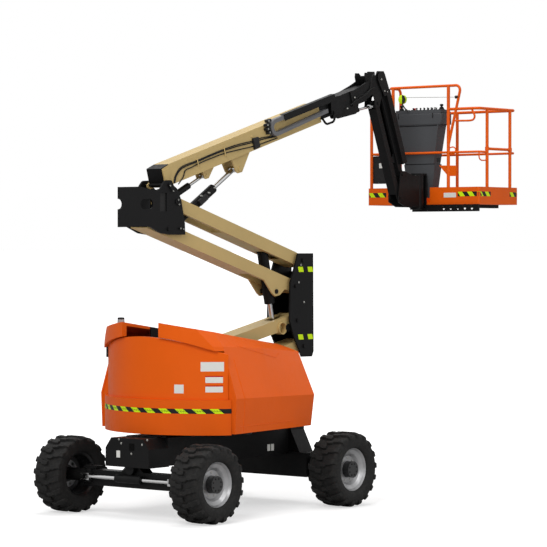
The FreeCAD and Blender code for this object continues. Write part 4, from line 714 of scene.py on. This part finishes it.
# each clamp: along the boom, then up to its lower and its upper foot
for s, low, high in ((0.577, 0.058, 0.128), (1.053, 0.050, 0.128)):
    for rise in (low, high):
        spot = in_boom(s, rise, BOOM_FACE)
        clamps.tube([spot, spot + Vector((0, -0.022, 0))], CLAMP_RADIUS, 8)
    clamps.tube([in_boom(s, low - 0.008, CLAMP_OUT), in_boom(s, high + 0.008, CLAMP_OUT)], CLAMP_RADIUS, 8)
clamps.bolt(in_boom(1.568, 0.130, BOOM_FACE), (0, -1, 0), 0.012, 0.012)
clamps.piece("hose_clamps", FINISH["tan_steel"], "main_boom", bevel=0.001)
guide = Build()
GUIDE_OUTLINE = ((1.562, -0.021), (1.661, -0.015), (1.661, 0.104), (1.566, 0.110))  # along, up
guide.prism([in_boom(s, n, BOOM_FACE) for s, n in GUIDE_OUTLINE], (0, -0.030, 0))
guide.piece("hose_block", FINISH["box_black"], "main_boom", bevel=0.006)

welds = Build()
welds.tube([in_boom(0.093, 0.158, BOOM_FACE), in_boom(1.723, 0.190, BOOM_FACE)], 0.0025, 6)
welds.piece("boom_weld", FINISH["tan_steel"], "main_boom")


# Hose carrier: link gaps across its channel, and the black end links with their bolts

CARRIER_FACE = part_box("hose_carrier")[0][1]
LINK_COUNT = 44
LINK_PITCH = 0.0195
links = Build()
for index in range(LINK_COUNT):
    s = 1.99 + LINK_PITCH * index
    links.tube([in_boom(s, n, CARRIER_FACE - 0.0002) for n in (0.078, 0.112)], 0.0016, 5)
links.piece("carrier_links", FINISH["box_black"], "main_boom")
END_LINK = square(-0.030, -0.017, 0.040, 0.017)
END_LINK_INNER = -0.106  # across the machine
END_LINK_WIDTH = 0.050
ends = Build()
end_bolts = Build()
for s, n in ((1.866, 0.236), (1.836, 0.196), (1.832, 0.150), (1.850, 0.106)):
    ends.prism([in_boom(s + a, n + b, END_LINK_INNER) for a, b in END_LINK], (0, -END_LINK_WIDTH, 0))
    end_bolts.bolt(in_boom(s - 0.008, n, -0.1555), (0, -1, 0), 0.008, 0.006)
ends.piece("carrier_end_links", FINISH["box_black"], "main_boom", bevel=0.005)
end_bolts.piece("carrier_end_bolts", FINISH["zinc"], "main_boom")


# Bolts and pin keepers

BOLT_HEIGHT = 0.007
KEEPER_HALF = 0.011  # half of a keeper's width
KEEPER_END = 0.014  # how far a keeper goes on past its bolts
KEEPER_THICK = 0.006


def add_bolts(name, body, y, spots, radius):
    """Bolt heads at (x, z) spots of an upright face, turned away from the machine's middle."""
    heads = Build()
    for x, z in spots:
        heads.bolt((x, y, z), (0, -1 if y < 0 else 1, 0), radius, BOLT_HEIGHT)
    heads.piece(name, FINISH["zinc"], body)


def add_keepers(name, body, y, pairs):
    """A flat bar over a pin's end, held by a bolt at each of its ends."""
    bars = Build()
    outward = -KEEPER_THICK if y < 0 else KEEPER_THICK
    for (x0, z0), (x1, z1) in pairs:
        way = Vector((x1 - x0, 0, z1 - z0)).normalized()
        side = Vector((-way.z, 0, way.x)) * KEEPER_HALF
        start = Vector((x0, y, z0)) - way * KEEPER_END
        stop = Vector((x1, y, z1)) + way * KEEPER_END
        bars.prism([start - side, stop - side, stop + side, start + side], (0, outward, 0))
    bars.piece(name, FINISH["black_steel"], body, bevel=0.002)
    add_bolts(name + "_bolts", body, y + outward, [spot for pair in pairs for spot in pair], 0.007)


UPPER_UPRIGHT_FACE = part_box("upper_upright")[0][1]
for side in (1, -1):
    face = UPPER_UPRIGHT_FACE * side
    word = "near" if side > 0 else "far"
    add_keepers(f"upright_keepers_{word}", "upper_upright", face,
                (((-0.842, 3.568), (-0.793, 3.512)), ((-0.708, 3.417), (-0.695, 3.368)),
                 ((-0.671, 3.108), (-0.622, 3.101))))
    add_bolts(f"mid_upright_bolts_{word}", "mid_upright", UPRIGHT_Y * side,
              ((1.385, 2.066), (1.51, 1.77), (1.496, 2.271), (1.44, 2.70), (1.40, 2.50)), 0.009)

backing = Build()
backing.block((-1.010, -0.158, 3.270), (-0.845, -0.152, 3.530))
backing.piece("upright_backing", FINISH["box_black"], "upper_upright", smooth=False)


# Boom tip and jib: bolts, the cheeks at the jib's top, and the hoses that run on from the boom

FLY_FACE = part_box("fly_boom")[0][1]
add_bolts("fly_bolts", "fly_boom", FLY_FACE, ((2.544, 4.675), (2.229, 4.533), (2.403, 4.540)), 0.009)
JIB_BASE_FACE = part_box("jib_base")[0][1]
CHEEK_OUTLINE = ((3.020, 4.968), (3.060, 5.004), (3.128, 5.008), (3.150, 4.990), (3.244, 4.799),
                 (3.262, 4.756), (3.150, 4.716), (3.050, 4.850), (3.014, 4.910))  # X, Z
for side in (1, -1):
    cheek = Build()
    cheek.prism([(x, (JIB_BASE_FACE - 0.002) * side, z) for x, z in CHEEK_OUTLINE], (0, -0.010 * side, 0))
    cheek.piece("jib_cheek_" + ("near" if side > 0 else "far"), FINISH["black_steel"], "jib_arm", bevel=0.002)
add_bolts("jib_cheek_bolts", "jib_arm", JIB_BASE_FACE - 0.012,
          ((3.082, 4.917), (3.145, 4.78), (3.20, 4.775)), 0.009)

tip_hoses = Build()
TIP_HOSES = (
    ((2.513, 4.604), (2.619, 4.695), (2.761, 4.733), (2.851, 4.802), (2.869, 4.901), (2.925, 5.000)),
    ((2.440, 4.580), (2.619, 4.665), (2.761, 4.728), (2.851, 4.790), (2.923, 4.812)),
)
for index, route in enumerate(TIP_HOSES):
    across = JIB_BASE_FACE - 0.020 - 0.010 * index
    hose_run(tip_hoses, [(x, across, z) for x, z in route], 0.0052)
tip_hoses.piece("tip_hoses", FINISH["hose"], "fly_boom")


ROTATOR_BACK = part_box("rotator")[0][0]
rotator_bolts = Build()
for y, z in ((-0.050, 3.770), (0.027, 3.667), (0.036, 3.609), (-0.060, 3.735), (0.062, 3.719), (0.048, 3.500)):
    rotator_bolts.bolt((ROTATOR_BACK - 0.001, y, z), (-1, 0, 0), 0.009, 0.008)
rotator_bolts.piece("rotator_bolts", FINISH["zinc"], "jib_head")


# Lift cylinder: the valve block beside its barrel and the port fittings

LIFT_BASE = Vector((-0.641, 0, 3.109))  # its lower pin
LIFT_WAY = Vector((0.845, 0, 0.534)).normalized()
LIFT_SIDE = Vector((-LIFT_WAY.z, 0, LIFT_WAY.x))
BARREL_SIDE = Vector((0, -0.050, 0))
# along and up from the lower pin
VALVE_OUTLINE = ((0.50, 0.044), (0.64, 0.044), (0.655, 0.028), (0.655, -0.014), (0.640, -0.024), (0.50, -0.024))
valve = Build()
valve.prism([LIFT_BASE + LIFT_WAY * along + LIFT_SIDE * up + BARREL_SIDE for along, up in VALVE_OUTLINE],
            (0, -0.032, 0))
valve.piece("lift_valve", FINISH["box_black"], "lift_barrel", bevel=0.006)
for index, (x, z) in enumerate(((-0.180, 3.470), (-0.050, 3.505), (0.049, 3.560))):
    port = Build()
    port.lathe([(0, 0.011), (0.012, 0.011), (0.014, 0.008), (0.024, 0.008)], (x, -0.048, z), (0, -1, 0), 10)
    port.piece(f"lift_port_{index}", FINISH["zinc"], "lift_barrel")


# Platform: lanyard reel with its half cover, lever and taut wire, a gusset, latches and looped handles

RAIL_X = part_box("platform_rails")[0][0] + 0.020
REEL_Z = 4.737


def by_rail(spots, out=0.0):
    """Points at (y, z) spots in the plane of the front rails, or that far in front of it."""
    return [(RAIL_X - out, y, z) for y, z in spots]


reel = Build()
reel.lathe([(-0.014, 0.056), (0.014, 0.056), (0.017, 0.050)], (RAIL_X, 0.325, REEL_Z), (-1, 0, 0), 36)
reel.piece("reel_disc", FINISH["lime"], "platform")
hub = Build()
half_turn = [math.pi * k / 16 for k in range(17)]
hub.prism(by_rail([(0.319 - 0.050 * math.sin(t), REEL_Z + 0.054 * math.cos(t)) for t in half_turn], 0.0175),
          (-0.004, 0, 0))
hub.tube(by_rail(((0.327, 4.700), (0.327, 4.673), (0.290, 4.625), (0.245, 4.592))), 0.009, 8)
hub.tube(by_rail(((-0.475, REEL_Z), (-0.530, REEL_Z))), 0.019, 12)
hub.piece("reel_hub", FINISH["box_black"], "platform")
wire = Build()
wire.tube(by_rail(((0.300, 4.760), (-0.480, REEL_Z))), 0.0032, 8)
wire.piece("reel_wire", FINISH["zinc"], "platform")

gusset = Build()
gusset.prism(by_rail(((-0.234, 3.907), (-0.493, 3.901), (-0.493, 3.772), (-0.368, 3.774)), 0.006), (0.006, 0, 0))
gusset.piece("rail_gusset", FINISH["orange_steel"], "platform", bevel=0.001)

latches = Build()
for y, z in ((-0.234, 3.978), (0.330, 3.972)):
    latches.block((RAIL_X - 0.022, y - 0.024, z - 0.026), (RAIL_X + 0.002, y + 0.024, z + 0.026))
latches.piece("cover_latches", FINISH["box_black"], "platform", bevel=0.004)
box_low, box_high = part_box("manual_box")
label = on_plane((box_low[0], 0, 0), (0, -1, 0), (0, 0, 1), (-1, 0, 0))
bare_plate("box_label", label, ((-0.698, 3.890), (-0.646, 3.953)), "platform")
box_trim = Build()
for z in (box_high[2] - 0.075, box_low[2] + 0.025):
    box_trim.block((box_low[0] - 0.003, box_low[1] + 0.012, z),
                   (box_low[0] + 0.001, box_high[1] - 0.012, z + 0.006))
box_trim.block((box_low[0] - 0.012, 0.668, 3.992), (box_low[0] + 0.001, 0.694, 4.018))
box_trim.piece("box_trim", FINISH["box_black"], "platform", bevel=0.001)

# bent bars on the rails: (y, z) in the plane of the front rails, then (x, z) in that of the near rails
GRAB_LOOP = ((-0.478, 4.447), (-0.560, 4.446), (-0.690, 4.445), (-0.742, 4.458), (-0.760, 4.492),
             (-0.748, 4.530), (-0.720, 4.580))
SMALL_LOOP = ((-0.400, 4.122), (-0.440, 4.128), (-0.472, 4.112), (-0.478, 4.085), (-0.470, 4.060),
              (-0.436, 4.042), (-0.400, 4.046))
GATE_RING = ((4.092, 4.060), (4.094, 4.000), (4.112, 3.972), (4.152, 3.960), (4.220, 3.962), (4.252, 3.975))
NEAR_RAIL_Y = -0.8195
loops = Build()
hose_run(loops, by_rail(GRAB_LOOP), 0.0125, 12)
hose_run(loops, by_rail(SMALL_LOOP), 0.008, 12)
loops.piece("grab_loops", FINISH["orange_steel"], "platform")
ring = Build()
hose_run(ring, [(x, NEAR_RAIL_Y, z) for x, z in GATE_RING], 0.008, 12)
ring.piece("gate_ring", FINISH["orange_steel"], "platform")


# Turntable: raised lines on the hoods' skins and the rear latch

def skin_points(node_name, route, way, steps=24):
    """Points along a route, each moved along a direction until it meets a node's surface."""
    thing = NODES[node_name]
    tree = BVHTree.FromPolygons([thing.matrix_world @ vertex.co for vertex in thing.data.vertices],
                                [tuple(face.vertices) for face in thing.data.polygons])
    found = []
    for start, stop in zip(route, route[1:]):
        for step in range(steps + 1):
            spot = Vector(start).lerp(Vector(stop), step / steps)
            hit = tree.ray_cast(spot, Vector(way))[0]
            if hit is not None and (not found or (hit - found[-1]).length > LEAST_STEP):
                found.append(hit)
    return found


LEAST_STEP = 0.002  # between points of a line on a skin
OUTSIDE_Y = 1.3  # outside both hoods, where the rays start
CREASE_ROUTES = (
    ((-0.536, 1.700), (-0.511, 1.251), (-0.520, 0.930)),
    ((-0.400, 1.840), (0.337, 1.687), (0.442, 1.735)),
    ((-0.600, 0.990), (-0.500, 0.988)),
    ((-0.455, 0.988), (-0.345, 0.986)),
    ((-0.300, 0.986), (0.480, 0.986)),
)
for node_name, out in (("hood_left", -1), ("hood_right", 1)):
    creases = Build()
    for route in CREASE_ROUTES:
        line = skin_points(node_name, [(x, out * OUTSIDE_Y, z) for x, z in route], (0, -out, 0))
        if len(line) > 1:
            creases.tube(line, 0.0035, 6)
    creases.piece("creases_" + node_name, FINISH["orange_iron"], node_name)

LATCH_OUTLINE = square(-0.030, 1.690, 0.030, 1.796)
rear_latch = Build()
latch_spot = on_arc(PANEL_RADIUS, -0.80)
rear_latch.add([latch_spot(along, up, out) for out in (-0.002, 0.022) for along, up in LATCH_OUTLINE],
               [(0, 1, 2, 3), (7, 6, 5, 4), (0, 4, 5, 1), (1, 5, 6, 2), (2, 6, 7, 3), (3, 7, 4, 0)])
rear_latch.piece("rear_latch", FINISH["box_black"], "turntable", bevel=0.006)


# Lower arm: a thin dark disc on its near side, beside the cross tube's bore: painted shade that stands for a hole

ARM_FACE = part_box("lower_arm")[0][1]
tube_end = Build()
tube_end.lathe([(0, 0.046), (0.0008, 0.045)], (1.235, ARM_FACE - 0.0002, 1.984), (0, -1, 0), 32)
tube_end.piece("cross_tube_hole_shade", FINISH["grease_dark"], "lower_arm", smooth=False)


# Undercarriage: the square hole in the nose, a flush dark block of painted shade, and its bolts

hole = Build()
hole.block((NOSE_X - 0.0012, -0.108, 0.733), (NOSE_X + 0.002, -0.033, 0.810))
hole.piece("nose_hole_shade", FINISH["grease_dark"], "chassis", smooth=False)
nose_bolts = Build()
for y, z in ((0.082, 0.805), (-0.219, 0.803), (0.115, 0.847), (-0.293, 0.857), (-0.065, 0.700)):
    nose_bolts.bolt((NOSE_X, y, z), (-1, 0, 0), 0.009, 0.007)
nose_bolts.piece("nose_bolts", FINISH["zinc"], "chassis")


# Console: a shell round its front and ends, seams of painted shade, hooks, switches, joysticks and the stop button

console_low, console_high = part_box("console")
panel_z = console_high[2]
shell_front = console_low[0] - 0.009
shell_foot = console_low[2] + 0.006
shell_top = console_low[2] + 0.140
shell = Build()
shell.block((shell_front, console_low[1] - 0.004, shell_foot),
            (console_low[0] + 0.004, console_high[1] + 0.004, shell_top))
for start, end in ((console_low[1] - 0.012, console_low[1] + 0.002),
                   (console_high[1] - 0.002, console_high[1] + 0.012)):
    shell.block((shell_front, start, shell_foot), (console_high[0] + 0.002, end, shell_top))
shell.piece("console_shell", FINISH["console_grey"], "platform", bevel=0.006)
# the seams are near-black strips: painted shade of the console's gaps
seams = Build()
SEAM_HALF = 0.004
cover_low, cover_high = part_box("console_cover")
for z, start, end in ((cover_high[2] - 0.008, cover_low[1] + 0.02, cover_high[1] - 0.02), (3.927, -0.15, 0.30)):
    seams.block((cover_low[0] - 0.0015, start, z - SEAM_HALF), (cover_low[0] + 0.001, end, z + SEAM_HALF))
seams.piece("console_seam_shade", FINISH["grease_dark"], "platform", smooth=False)
hooks = Build()
for y in (-0.135, 0.385):
    hooks.block((shell_front - 0.006, y, console_low[2] + 0.085),
                (shell_front + 0.001, y + 0.012, console_low[2] + 0.150))
hooks.piece("console_hooks", FINISH["box_black"], "platform", bevel=0.002)


def on_console(x, y, sunk=0.001):
    """A place on the console's top, from its corner, sunk a little so that nothing floats."""
    return Vector((console_low[0] + x, console_low[1] + y, panel_z - sunk))


# profiles of the controls: (along, radius) from the console's top
SWITCH = ((0, 0.013), (0.008, 0.013), (0.010, 0.007), (0.020, 0.007), (0.024, 0.010), (0.032, 0.009))
KNOB = ((0, 0.017), (0.014, 0.017), (0.016, 0.014))
STICK = ((0, 0.040), (0.007, 0.038), (0.014, 0.029), (0.019, 0.032), (0.026, 0.023), (0.031, 0.026),
         (0.038, 0.014), (0.042, 0.009), (0.046, 0.018), (0.056, 0.024), (0.066, 0.022), (0.072, 0.010))
STOP_BUTTON = ((0, 0.020), (0.010, 0.020), (0.012, 0.012), (0.018, 0.012), (0.020, 0.022), (0.030, 0.021),
               (0.033, 0.016))
UPRIGHT = (0, 0, 1)
SWITCH_LEAN = (0.12, 0.1, 1)

switch_spots = [(0.055, 0.13 + 0.055 * index) for index in range(7)]
switch_spots += [(0.13, 0.16 + 0.06 * index) for index in range(5)]
controls = Build()
for x, y in switch_spots:
    controls.lathe(SWITCH, on_console(x, y, 0.002), SWITCH_LEAN, 12)
for x, y in ((0.15, 0.545), (0.06, 0.575), (0.15, 0.60)):
    controls.lathe(KNOB, on_console(x, y), UPRIGHT, 20)
controls.piece("console_switches", FINISH["box_black"], "platform")
stick = Build()
for x, y, lean in ((0.095, 0.058, 0.0), (0.08, 0.655, -0.12)):
    stick.lathe(STICK, on_console(x, y), (lean, lean, 1), 24)
stick.piece("console_sticks", FINISH["hose"], "platform")
stop = Build()
stop.lathe(STOP_BUTTON, on_console(0.12, 0.485), UPRIGHT, 24)
stop.piece("stop_button", FINISH["plate_red"], "platform")


# Floor, lights and surroundings

FLOOR_GLOW = 0.55  # how far the floor near the machine is lifted toward white
FLOOR_REACH = 900
GLOW_NEAR, GLOW_FAR = 3, 9  # the floor's glow grows to full white between these distances
SKY_LIGHT = 0.36  # how strongly the white surroundings light the machine


def stage_floor():
    """A pale floor that glows white toward the distance, for the camera only."""
    data = bpy.data.meshes.new("floor")
    corners = square(-FLOOR_REACH, -FLOOR_REACH, FLOOR_REACH, FLOOR_REACH)
    data.from_pydata([(*corner, 0) for corner in corners], [], [(0, 1, 2, 3)])
    floor = bpy.data.objects.new("floor", data)
    bpy.context.scene.collection.objects.link(floor)
    material = bpy.data.materials.new("floor")
    material.use_nodes = True
    tree = material.node_tree
    surface = tree.nodes["Principled BSDF"]
    surface.inputs["Base Color"].default_value = (0.62, 0.62, 0.62, 1)
    surface.inputs["Roughness"].default_value = 0.9
    surface.inputs["Specular IOR Level"].default_value = 0.1
    path = tree.nodes.new("ShaderNodeLightPath")
    place = tree.nodes.new("ShaderNodeTexCoord")
    away = tree.nodes.new("ShaderNodeVectorMath")
    away.operation = "LENGTH"
    tree.links.new(place.outputs["Object"], away.inputs[0])
    glow = tree.nodes.new("ShaderNodeMapRange")
    glow.interpolation_type = "SMOOTHSTEP"
    for field, number in zip(("From Min", "From Max", "To Min", "To Max"), (GLOW_NEAR, GLOW_FAR, FLOOR_GLOW, 1)):
        glow.inputs[field].default_value = number
    tree.links.new(away.outputs["Value"], glow.inputs["Value"])
    scale = tree.nodes.new("ShaderNodeMath")
    scale.operation = "MULTIPLY"
    tree.links.new(glow.outputs["Result"], scale.inputs[1])
    tree.links.new(path.outputs["Is Camera Ray"], scale.inputs[0])
    surface.inputs["Emission Color"].default_value = (1, 1, 1, 1)
    tree.links.new(scale.outputs["Value"], surface.inputs["Emission Strength"])
    data.materials.append(material)


def surroundings():
    """White surroundings, full for the camera and reflections, and weaker as a light."""
    world = bpy.data.worlds.new("studio")
    bpy.context.scene.world = world
    world.use_nodes = True
    tree = world.node_tree
    background = tree.nodes["Background"]
    background.inputs["Color"].default_value = (1, 1, 1, 1)
    path = tree.nodes.new("ShaderNodeLightPath")
    seen = path.outputs["Is Camera Ray"]
    for name in ("Is Glossy Ray", "Is Transmission Ray"):
        either = tree.nodes.new("ShaderNodeMath")
        either.operation = "MAXIMUM"
        tree.links.new(seen, either.inputs[0])
        tree.links.new(path.outputs[name], either.inputs[1])
        seen = either.outputs["Value"]
    level = tree.nodes.new("ShaderNodeMapRange")
    level.inputs["To Min"].default_value = SKY_LIGHT
    level.inputs["To Max"].default_value = 1.0
    tree.links.new(seen, level.inputs["Value"])
    tree.links.new(level.outputs["Result"], background.inputs["Strength"])


def lamp(name, place, aim, size, power):
    data = bpy.data.lights.new(name, "AREA")
    data.shape = "SQUARE"
    data.size = size
    data.energy = power
    light = bpy.data.objects.new(name, data)
    bpy.context.scene.collection.objects.link(light)
    light.location = place
    light.rotation_mode = "QUATERNION"
    light.rotation_quaternion = (Vector(aim) - Vector(place)).to_track_quat("-Z", "Y")


stage_floor()
surroundings()
# name, place, aim, size, power
for row in (("key", (-11, -5, 9), (0, 0, 2), 6, 900), ("fill", (2, -13, 6), (0.5, 0, 2), 7, 330),
            ("top", (1, 1, 13), (1, 0, 2), 8, 750)):
    lamp(*row)
